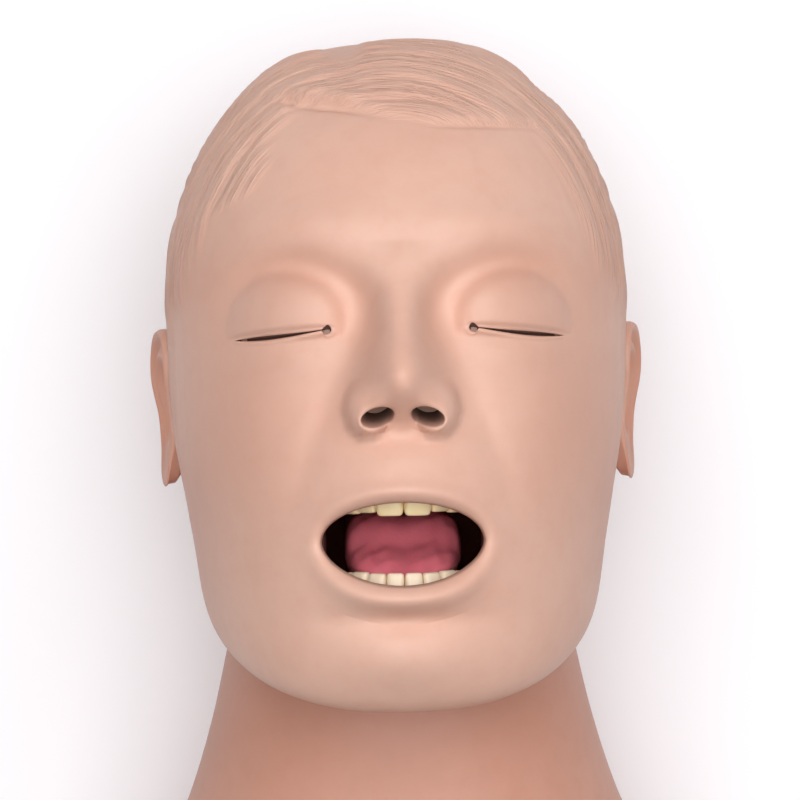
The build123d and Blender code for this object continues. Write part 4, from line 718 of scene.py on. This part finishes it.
# Floor under the jaw: flat vinyl round the hole that takes the neck skin's rim. The
# inside of the wall is plain and follows the outside at 3 mm.
NECK_HOLE = 60.4
TURN_Z = 73.0
JAW_FLOOR_SLOPE = math.tan(math.radians(24.0))
rim = skin_points[-1]
direction = np.arctan2(rim[:, 2] - TURN_Z, rim[:, 0])
hole = np.stack([
    NECK_HOLE * np.cos(direction),
    ring_rows[-1, 0] - (TURN_Z + NECK_HOLE * np.sin(direction) - FAN_Z) * JAW_FLOOR_SLOPE,
    TURN_Z + NECK_HOLE * np.sin(direction),
], -1)
floor_rings = [rim + (hole - rim) * share for share in (0.0, 0.3, 0.6, 0.85, 0.97, 1.0)]
floor_rings[-1] = floor_rings[-1] + [0.0, 0.4, 0.0]
floor_rings.append(hole + [0.0, SKIN_WALL, 0.0])
skin_parts.append(grid_part(np.stack(floor_rings)))
inner_rows = smooth_rows(HEAD_ROWS, np.linspace(0.03, 0.97, 70))
inner_angle = np.linspace(0.0, 2 * np.pi, 90, endpoint=False)
inside = plain_head(inner_rows, inner_angle, SKIN_WALL)
inside[..., 2] += (
    np.minimum(face(inside[..., 0], inside[..., 1]) - nose(inside[..., 0], inside[..., 1]), 3.0)
    * np.sqrt(np.clip(np.sin(inner_angle), 0, 1))[None, :]
)
inside_flat, inside_faces = grid_part(inside)
reach = oval_reach(inside_flat, MOUTH_OVAL)
inside_flat[:, 1] -= 1.5 * step((inside_flat[:, 1] - 95) / 6)
behind_mouth = (reach[inside_faces].min(axis=1) < 1.0) & (inside_flat[inside_faces, 2] > 120).all(axis=1)
skin_parts.append((inside_flat, inside_faces[~behind_mouth][:, ::-1]))

# The parts of the head skin in one mesh, as it comes from one mould, with its flush
# and painted shade, the painted shade in its hollows and the run of its strands as values at the points.
offsets = np.cumsum([0] + [len(points) for points, _ in skin_parts])
all_points = np.concatenate([points for points, _ in skin_parts])
all_faces = [faces + offset for (_, faces), offset in zip(skin_parts, offsets)]
all_points[:, 2] = np.maximum(all_points[:, 2], 0.3)
x, y, z = all_points.T
side = np.abs(x)
is_outside = np.arange(len(all_points)) < len(flat_points)
# The vinyl is redder on cheeks, ears and temples; the same redder colour is painted shade
# on the sides of the cheeks, on the sides of the jaw and in the eye sockets
flush_and_painted_shade = 0.5 * bell((side - 54) / 17) * bell((y + 10) / 34)
flush_and_painted_shade += 0.9 * step((side - 78.5) / 1.0)
flush_and_painted_shade += 0.8 * step((side - 64) / 3) * step((-18 - y) / 8)
flush_and_painted_shade += 0.5 * bell((side - 36) / 16) * bell((y - 38) / 9)
flush_and_painted_shade += 0.35 * bell((side - 66) / 9) * bell((y - 40) / 14)
# Painted shade on the openings' walls; the ears, the jaw floor and the inside get none.
dark = np.concatenate(skin_painted_shade)
values = {
    "tone": np.clip(flush_and_painted_shade, 0.0, 1.0),
    "dark": np.concatenate([dark, np.zeros(len(all_points) - len(dark))]),
    "hair": hair_mask(x, y, z) * is_outside,
    "strand": np.stack([strand_run(x, y, z), np.arctan2(x + 5, np.maximum(y - 40, 1.0)) * 60 + z, z], -1),
}
head_skin = make_piece(
    "visual_head_skin", all_points + [0.0, EAR_Y, 0.0], all_faces, skin_vinyl, values
)
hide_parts("head_skin")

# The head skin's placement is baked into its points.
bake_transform(head_skin)

# Neck and shoulder skin: a second vinyl sleeve, plain and a little darker, tucked
# in under the head skin and stretched over the shoulder base.
# Rows: place along Y, half breadth, back, widest, front, squareness.
NECK_ROWS = np.array([
    (-37.0, 108.5, 0.6, 58.0, 130.0, 0.72),
    (0.0, 100.0, 0.6, 59.0, 130.0, 0.75),
    (30.0, 89.0, 1.5, 61.0, 130.0, 0.80),
    (63.0, 74.5, 6.0, 66.0, 130.5, 0.88),
    (90.0, 66.0, 11.0, 71.0, 131.5, 0.97),
    (116.0, 60.0, 13.0, 73.0, 133.0, 1.0),
])
NECK_COLUMNS = 200
NECK_TUCK = 8.0
RIM_Y = EAR_Y - 70.5 + NECK_TUCK
neck_vinyl = vinyl("neck_skin_vinyl", "#cc9783", "#bb826d", "#c08a76")
neck_angle = np.linspace(0.0, 2 * np.pi, NECK_COLUMNS, endpoint=False)


def neck_rings(inset, count):
    """Rings of the neck from its end to the hidden rim on the tilted plane inside the head."""
    rows = smooth_rows(NECK_ROWS, np.linspace(0.0, 1.0, count), measured=(0, 1))
    y, half, back, widest, front, square = [rows[:, k][:, None] for k in range(6)]
    across = np.abs(np.cos(neck_angle)) ** square * np.sign(np.cos(neck_angle))
    up = np.sin(neck_angle)[None, :]
    reach = np.where(up > 0, front - widest, widest - back) - inset
    rings = np.stack([(half - inset) * across, y + 0 * across, widest + reach * up], -1)
    top = rings[-1].copy()
    top[:, 1] = RIM_Y - (top[:, 2] - FAN_Z) * JAW_FLOOR_SLOPE
    # The front of the rim is cut lower, clear of the tongue's root when the head turns
    top[:, 1] -= 3.0 * step((top[:, 2] - 80) / 5)
    more = [rings[-1] + (top - rings[-1]) * share for share in np.linspace(0.1, 1.0, 10)]
    return np.concatenate([rings, np.stack(more)])


outer = neck_rings(0.0, 110)
inner = neck_rings(SKIN_WALL, 30)
neck_points = np.concatenate([outer, inner[::-1]])
neck_points = np.concatenate([neck_points, neck_points[:1]])
points, faces = grid_part(neck_points[:, ::-1])
points[:, 2] = np.maximum(points[:, 2], 0.3)
# The flush colour in a band round the neck below the chin is painted shade, where the chin's shade falls.
values = {"tone": 0.4 * bell((points[:, 1] - 95) / 22), "dark": 0 * points[:, 0]}
neck_skin = make_piece("visual_neck_skin", points, [faces], neck_vinyl, values)
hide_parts("neck_skin")
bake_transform(neck_skin)

# Teeth: two hard strips of acrylic crowns, waxed and cast, pushed on to the gums.
# Width along the arch and thickness of each crown from the middle outwards.
ARCH_HALF = 24.0
ARCH_Z = 146.0
UPPER_TEETH = [(8.6, 6.0), (6.8, 5.6), (7.4, 7.0), (7.0, 8.0), (7.0, 8.0), (9.6, 9.0)]
LOWER_TEETH = [(5.6, 5.2), (6.0, 5.4), (6.8, 6.6), (7.0, 7.4), (7.0, 7.6), (10.0, 9.0)]
UPPER_LENGTHS = [1.0, 0.89, 0.95, 0.84, 0.82, 0.8]
LOWER_LENGTHS = [0.97, 0.96, 1.0, 0.94, 0.92, 0.9]
UPPER_DEPTH = 38.0
LOWER_DEPTH = 34.0
UPPER_GUM_RISE = -28.0
LOWER_GUM_RISE = -62.5
UPPER_HEIGHT = 8.7
LOWER_HEIGHT = 8.0
# Share of the height, of the width and of the thickness, from the gum to the edge
CROWN = np.array([
    (0.0, 0.84, 0.92), (0.12, 0.90, 1.0), (0.3, 0.96, 1.02), (0.55, 1.0, 0.9), (0.78, 1.0, 0.72),
    (0.9, 0.96, 0.58), (0.97, 0.89, 0.46), (1.0, 0.78, 0.36), (1.01, 0.4, 0.15), (1.01, 0.0, 0.0),
])
ENAMEL_POINTS = 44


def tooth_enamel(name, pale, deep):
    """Aged acrylic: glossy, warm, a little translucent, yellower in uneven patches."""
    material = bpy.data.materials.new(name)
    material.use_nodes = True
    tree = material.node_tree
    shader = tree.nodes["Principled BSDF"]
    place = add_node(tree, "ShaderNodeTexCoord").outputs["Object"]
    patches = add_node(
        tree, "ShaderNodeTexNoise", {"Scale": 240.0, "Detail": 2.0, "Roughness": 0.5}, {"Vector": place}
    )
    colour = add_node(tree, "ShaderNodeMix", {"data_type": "RGBA"}, {"Factor": patches.outputs["Fac"]})
    colour.inputs[6].default_value = linear(pale)
    colour.inputs[7].default_value = linear(deep)
    tree.links.new(colour.outputs[2], shader.inputs["Base Color"])
    ripple = add_node(tree, "ShaderNodeTexNoise", {"Scale": 700.0, "Detail": 1.0}, {"Vector": place})
    bump = add_node(
        tree, "ShaderNodeBump", {"Strength": 0.08, "Distance": 0.0003}, {"Height": ripple.outputs["Fac"]}
    )
    tree.links.new(bump.outputs[0], shader.inputs["Normal"])
    shader.inputs["Roughness"].default_value = 0.28
    shader.inputs["IOR"].default_value = 1.49
    shader.inputs["Subsurface Weight"].default_value = 0.2
    shader.inputs["Subsurface Radius"].default_value = (1.0, 0.8, 0.5)
    shader.inputs["Subsurface Scale"].default_value = 0.0015
    return material


def tooth_row(name, sizes, lengths, depth, gum_y, height, way, material):
    """Crowns along a half oval, and the strip that carries them.

    A crown is a stack of superellipse rings that narrow to the biting edge, each set
    square to the oval at the middle of its own width, walked off along the arch."""
    angle = np.radians(np.arange(90.0, 0.0, -0.25))
    pace = np.hypot(ARCH_HALF * np.sin(angle), depth * np.cos(angle)) * math.radians(0.25)
    walked = np.concatenate([[0.0], np.cumsum(pace)[:-1]])
    turn = np.linspace(0.0, 2 * np.pi, ENAMEL_POINTS, endpoint=False)
    corner = [np.sign(f) * np.abs(f) ** 0.62 for f in (np.cos(turn), np.sin(turn))]
    rows = smooth_rows(CROWN * [height, 4.0, 3.0], np.linspace(0.0, 1.0, 40), measured=(0, 1, 2))
    parts = []
    start = 0.0
    for number, (width, thickness) in enumerate(sizes):
        middle = np.interp(start + width / 2, walked, angle)
        start += width
        place = np.array([ARCH_HALF * math.cos(middle), ARCH_Z + depth * math.sin(middle)])
        along = np.array([math.sin(middle) * ARCH_HALF, -depth * math.cos(middle)])
        along /= np.hypot(*along)
        face_out = np.array([-along[1], along[0]])
        chewing = number >= 3
        taper = np.where(chewing, 0.35 + 0.65 * rows[:, 2] / 3.0, rows[:, 2] / 3.0)
        taper = np.where(rows[:, 1] < 0.05, 0.0, taper * np.minimum(rows[:, 1] / 2.6, 1.0))
        for side in (-1, 1):
            a = rows[:, 1, None] / 4.0 * width * 0.485 * corner[0]
            b = taper[:, None] * thickness / 2 * corner[1]
            up = gum_y + way * rows[:, 0, None] * lengths[number] + 0 * a
            cusp = 0.5 * np.cos(a / width * 4 * np.pi) * np.clip(rows[:, 0, None] / height - 0.8, 0, 1) * 5
            up = up + way * (cusp - 0.5) * (0.8 if chewing else 0.0)
            x = side * (place[0] + along[0] * a + face_out[0] * b)
            z = place[1] + along[1] * a + face_out[1] * b
            crown = np.stack([x, up, z], -1)
            parts.append(grid_part(crown if side * way > 0 else crown[:, ::-1]))
    sweep = np.linspace(0.12, np.pi - 0.12, 90)
    strip = []
    for grow, level in ((-1.4, 0.0), (-1.4, 0.28), (1.4, 0.28), (1.4, 0.0), (-1.4, 0.0)):
        strip.append(np.stack([
            (ARCH_HALF + grow) * np.cos(sweep), gum_y + way * height * level + 0 * sweep,
            ARCH_Z + (depth + grow) * np.sin(sweep),
        ], -1))
    parts.append(grid_part(np.stack(strip), around=False))
    offsets = np.cumsum([0] + [len(p) for p, _ in parts])
    points = np.concatenate([p for p, _ in parts])
    faces = [f + offset for (_, f), offset in zip(parts, offsets)]
    return make_piece(name, points, faces, material)


upper_enamel = tooth_enamel("upper_tooth_acrylic", "#ffedc4", "#fadcaa")
lower_enamel = tooth_enamel("lower_tooth_acrylic", "#fbead2", "#f0dabb")
upper_teeth = tooth_row(
    "visual_upper_teeth", UPPER_TEETH, UPPER_LENGTHS, UPPER_DEPTH, EAR_Y + UPPER_GUM_RISE, UPPER_HEIGHT, -1,
    upper_enamel,
)
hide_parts("upper_teeth")
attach(upper_teeth, "head")
lower_teeth = tooth_row(
    "visual_lower_teeth", LOWER_TEETH, LOWER_LENGTHS, LOWER_DEPTH, EAR_Y + LOWER_GUM_RISE, LOWER_HEIGHT, 1,
    lower_enamel,
)
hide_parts("lower_teeth")
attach(lower_teeth, "jaw")

# Tongue: a soft vinyl casting on the mouth floor, broad, with a shallow groove
# and its tip behind the lower teeth. Rows: height, half breadth, underside, top.
TONGUE_ROWS = np.array([
    (117.5, 3.0, -55.0, -52.0),
    (118.5, 9.0, -60.0, -48.0),
    (123.0, 14.0, -65.0, -42.5),
    (131.0, 17.0, -69.5, -38.5),
    (141.0, 18.4, -72.0, -37.4),
    (149.0, 18.6, -72.0, -37.4),
    (154.5, 18.4, -71.0, -39.8),
    (160.0, 17.4, -66.3, -46.8),
    (165.0, 16.4, -65.8, -49.4),
    (169.0, 14.6, -64.5, -51.6),
    (172.2, 10.4, -62.0, -54.4),
    (173.4, 0.0, -58.8, -58.6),
])
TONGUE_POINTS = 200
rows = smooth_rows(TONGUE_ROWS, np.linspace(0.0, 1.0, 110), measured=(0, 1, 3))
turn = np.linspace(0.0, 2 * np.pi, TONGUE_POINTS, endpoint=False)
z, half, low, high = [rows[:, k][:, None] for k in range(4)]
half = np.maximum(half, 0.0)
flat_x = half * np.sign(np.cos(turn)) * np.abs(np.cos(turn)) ** 0.4
flat_y = (low + high) / 2 + (high - low) / 2 * np.sign(np.sin(turn)) * np.abs(np.sin(turn)) ** 0.42
flat_x = flat_x * (1 - 0.1 * step((-54.5 - flat_y) / 0.6) - 0.12 * step((-61.5 - flat_y) / 0.8))
on_top = np.clip(np.sin(turn), 0, 1)[None, :]
groove = -1.2 * bell(flat_x / 2.6) * on_top * np.clip((half - 4) / 8, 0, 1)
lumps = 0.35 * np.sin(flat_x * 0.9 + z * 0.35) * np.sin(flat_x * 0.3 - z * 0.6 + 1) * on_top
tongue_points = np.stack([flat_x, EAR_Y + flat_y + groove + lumps, z + 0 * flat_x], -1)


def wet_vinyl(name, pale, deep, roughness, pits):
    """Flesh-coloured soft vinyl with a slight shine, blotchy, with fine pits."""
    material = bpy.data.materials.new(name)
    material.use_nodes = True
    tree = material.node_tree
    shader = tree.nodes["Principled BSDF"]
    place = add_node(tree, "ShaderNodeTexCoord").outputs["Object"]
    blotches = add_node(
        tree, "ShaderNodeTexNoise", {"Scale": 90.0, "Detail": 3.0, "Roughness": 0.55}, {"Vector": place}
    )
    colour = add_node(tree, "ShaderNodeMix", {"data_type": "RGBA"}, {"Factor": blotches.outputs["Fac"]})
    colour.inputs[6].default_value = linear(pale)
    colour.inputs[7].default_value = linear(deep)
    tree.links.new(colour.outputs[2], shader.inputs["Base Color"])
    buds = add_node(tree, "ShaderNodeTexVoronoi", {"Scale": 900.0}, {"Vector": place})
    bump = add_node(
        tree, "ShaderNodeBump", {"Strength": pits, "Distance": 0.0004},
        {"Height": buds.outputs["Distance"]},
    )
    tree.links.new(bump.outputs[0], shader.inputs["Normal"])
    shader.inputs["Roughness"].default_value = roughness
    shader.inputs["IOR"].default_value = 1.5
    shader.inputs["Subsurface Weight"].default_value = 0.15
    shader.inputs["Subsurface Radius"].default_value = (1.0, 0.3, 0.3)
    shader.inputs["Subsurface Scale"].default_value = 0.003
    return material


tongue_vinyl = wet_vinyl("tongue_vinyl", "#df7683", "#c45c69", 0.42, 0.12)
points, faces = grid_part(tongue_points)
tongue = make_piece("visual_tongue", points, [faces], tongue_vinyl)
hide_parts("tongue")
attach(tongue, "jaw")

# Cheek linings: thin dark red vinyl walls between the rows of teeth and the
# cheeks, glued in behind the lips.
LINING_GAP = 5.3
LINING_WALL = 1.5
LINING_FRONT_X = 23.5
LINING_LEG = 10.0
LINING_TOP_RISE = -22.0
LINING_BOTTOM_RISE = -59.5
LINING_BELLY = 0.8
# The lining's dark red is its own colour, made darker still as painted shade of the deep gaps beside the
# tongue.
lining_vinyl = wet_vinyl("lining_vinyl_darkened_as_painted_shade", "#471419", "#2c0a0e", 0.62, 0.1)
for side, name in ((-1, "left"), (1, "right")):
    front = math.acos(LINING_FRONT_X / (ARCH_HALF + LINING_GAP))
    sweep = np.linspace(front, 0.0, 60)
    legs = np.linspace(0.0, 1.0, 12)[1:]
    walls = []
    for grow in (LINING_GAP, LINING_GAP + LINING_WALL):
        half = ARCH_HALF + grow
        arc = np.stack([half * np.cos(sweep), ARCH_Z + (UPPER_DEPTH + grow) * np.sin(sweep)], -1)
        leg = np.stack([half + 0 * legs, ARCH_Z - LINING_LEG * legs], -1)
        walls.append(np.concatenate([arc, leg]))
    loop = np.concatenate([walls[0], walls[1][::-1]])
    rises = np.linspace(LINING_TOP_RISE, LINING_BOTTOM_RISE, 40)
    rises = np.concatenate([rises[:1], rises, rises[-1:]])
    thin = np.ones(len(rises))
    thin[[0, -1]] = 0.0
    middle = (walls[0] + walls[1]) / 2
    middle = np.concatenate([middle, middle[::-1]])
    rings = []
    for rise, share in zip(rises, thin):
        ring = middle + (loop - middle) * share
        share_down = (rise - LINING_TOP_RISE) / (LINING_TOP_RISE - LINING_BOTTOM_RISE)
        belly = -LINING_BELLY * math.sin(share_down * math.pi)
        x = side * (ring[:, 0] + belly)
        rings.append(np.stack([x, EAR_Y + rise + 0 * x, ring[:, 1]], -1))
    rings = np.stack(rings)
    points, faces = grid_part(rings if side > 0 else rings[:, ::-1])
    lining = make_piece(f"visual_cheek_lining_{name}", points, [faces], lining_vinyl)
    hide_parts(f"cheek_lining_{name}")
    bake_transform(lining)

# Pharynx sleeve: the soft vinyl throat of the shared model. Its lower end is held by
# the neck and its upper end by the head.
sleeve_node = frame["nodes"]["pharynx_sleeve"]
sleeve_mesh = sleeve_node.data.copy()
sleeve_mesh.transform(sleeve_node.matrix_world)
merged = bmesh.new()
merged.from_mesh(sleeve_mesh)
bmesh.ops.remove_doubles(merged, verts=merged.verts, dist=0.001 * MM)
merged.to_mesh(sleeve_mesh)
merged.free()
sleeve = bpy.data.objects.new("visual_pharynx_sleeve", sleeve_mesh)
bpy.context.scene.collection.objects.link(sleeve)
throat_vinyl = wet_vinyl("throat_vinyl", "#c97a74", "#b0605c", 0.45, 0.1)
sleeve_mesh.materials.clear()
sleeve_mesh.materials.append(throat_vinyl)
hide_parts("pharynx_sleeve")
low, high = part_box("pharynx_sleeve")
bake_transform(sleeve)

# Hoses: the windpipe is a ringed hose and the gullet a smooth one, both of pale soft
# vinyl, pushed on spigots at each end.
HOSE_WALL = 1.8
RING_PITCH = 9.0
hose_vinyl = wet_vinyl("hose_vinyl", "#d8d6cf", "#c9c6bd", 0.35, 0.05)
for node, rib in (("trachea_tube", 0.8), ("gullet_tube", 0.0)):
    low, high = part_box(node)
    centre_x = (low[0] + high[0]) / 2 / MM
    centre_z = (low[2] + high[2]) / 2 / MM
    radius = (high[0] - low[0]) / 2 / MM
    y = np.linspace(low[1] / MM, high[1] / MM, 150)
    turn = np.linspace(0.0, 2 * np.pi, 48, endpoint=False)
    outer = radius - rib + rib * np.clip(np.cos((y - y[0]) * 2 * np.pi / RING_PITCH) * 2, 0, 1)
    inner = radius - rib - HOSE_WALL + 0 * y
    wall = np.concatenate([outer, inner[::-1], outer[:1]])
    path = np.concatenate([y, y[::-1], y[:1]])
    rings = np.stack([
        centre_x + wall[:, None] * np.cos(turn), path[:, None] + 0 * turn,
        centre_z + wall[:, None] * np.sin(turn),
    ], -1)
    points, faces = grid_part(rings[:, ::-1])
    hose = make_piece(f"visual_{node}", points, [faces], hose_vinyl)
    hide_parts(node)
    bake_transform(hose)


# Inner pieces that come from the CAD model as they are: skull, jaws, throat,
# larynx, shoulder base and fittings, each with the finish of its real material.
def plastic(name, code, roughness, grain, coat=0.0):
    """Injection-moulded plastic with a faint moulded grain and uneven shine."""
    material = bpy.data.materials.new(name)
    material.use_nodes = True
    tree = material.node_tree
    shader = tree.nodes["Principled BSDF"]
    place = add_node(tree, "ShaderNodeTexCoord").outputs["Object"]
    cloud = add_node(tree, "ShaderNodeTexNoise", {"Scale": 30.0, "Detail": 2.0}, {"Vector": place})
    shine = add_node(
        tree, "ShaderNodeMapRange", {"To Min": roughness - 0.06, "To Max": roughness + 0.06},
        {"Value": cloud.outputs["Fac"]},
    )
    tree.links.new(shine.outputs["Result"], shader.inputs["Roughness"])
    fine = add_node(tree, "ShaderNodeTexNoise", {"Scale": 1500.0, "Detail": 1.0}, {"Vector": place})
    bump = add_node(
        tree, "ShaderNodeBump", {"Strength": grain, "Distance": 0.0002}, {"Height": fine.outputs["Fac"]}
    )
    tree.links.new(bump.outputs[0], shader.inputs["Normal"])
    shader.inputs["Base Color"].default_value = linear(code)
    shader.inputs["IOR"].default_value = 1.49
    shader.inputs["Coat Weight"].default_value = coat
    return material


def metal(name, code, roughness):
    """Turned metal with a faint fine grain and uneven shine."""
    material = plastic(name, code, roughness, 0.1)
    material.node_tree.nodes["Principled BSDF"].inputs["Metallic"].default_value = 1.0
    return material


finishes = {
    "skin_vinyl": skin_vinyl,
    "neck_vinyl": neck_vinyl,
    "skull_plastic": plastic("ivory_skull_plastic", "#dedacd", 0.5, 0.15),
    "frame_plastic": plastic("grey_frame_plastic", "#3c3f43", 0.5, 0.2),
    "gum_vinyl": wet_vinyl("gum_vinyl", "#b8565a", "#9c4248", 0.42, 0.15),
    "tongue_vinyl": tongue_vinyl,
    "lining_vinyl": lining_vinyl,
    "tooth_plastic": upper_enamel,
    "throat_vinyl": throat_vinyl,
    "larynx_plastic": plastic("larynx_plastic", "#e6ccb8", 0.35, 0.05, 0.2),
    "hose_plastic": hose_vinyl,
    "port_plastic": plastic("port_plastic", "#d9dde3", 0.3, 0.05, 0.3),
    "steel": metal("turned_steel", "#9fa1a3", 0.3),
    "bronze": metal("sintered_bronze", "#a98050", 0.45),
}
for subpart in frame["record"]["subparts"]:
    node = frame["nodes"][subpart["node"]]
    node.data.materials.clear()
    node.data.materials.append(finishes[subpart["material_slot"]])
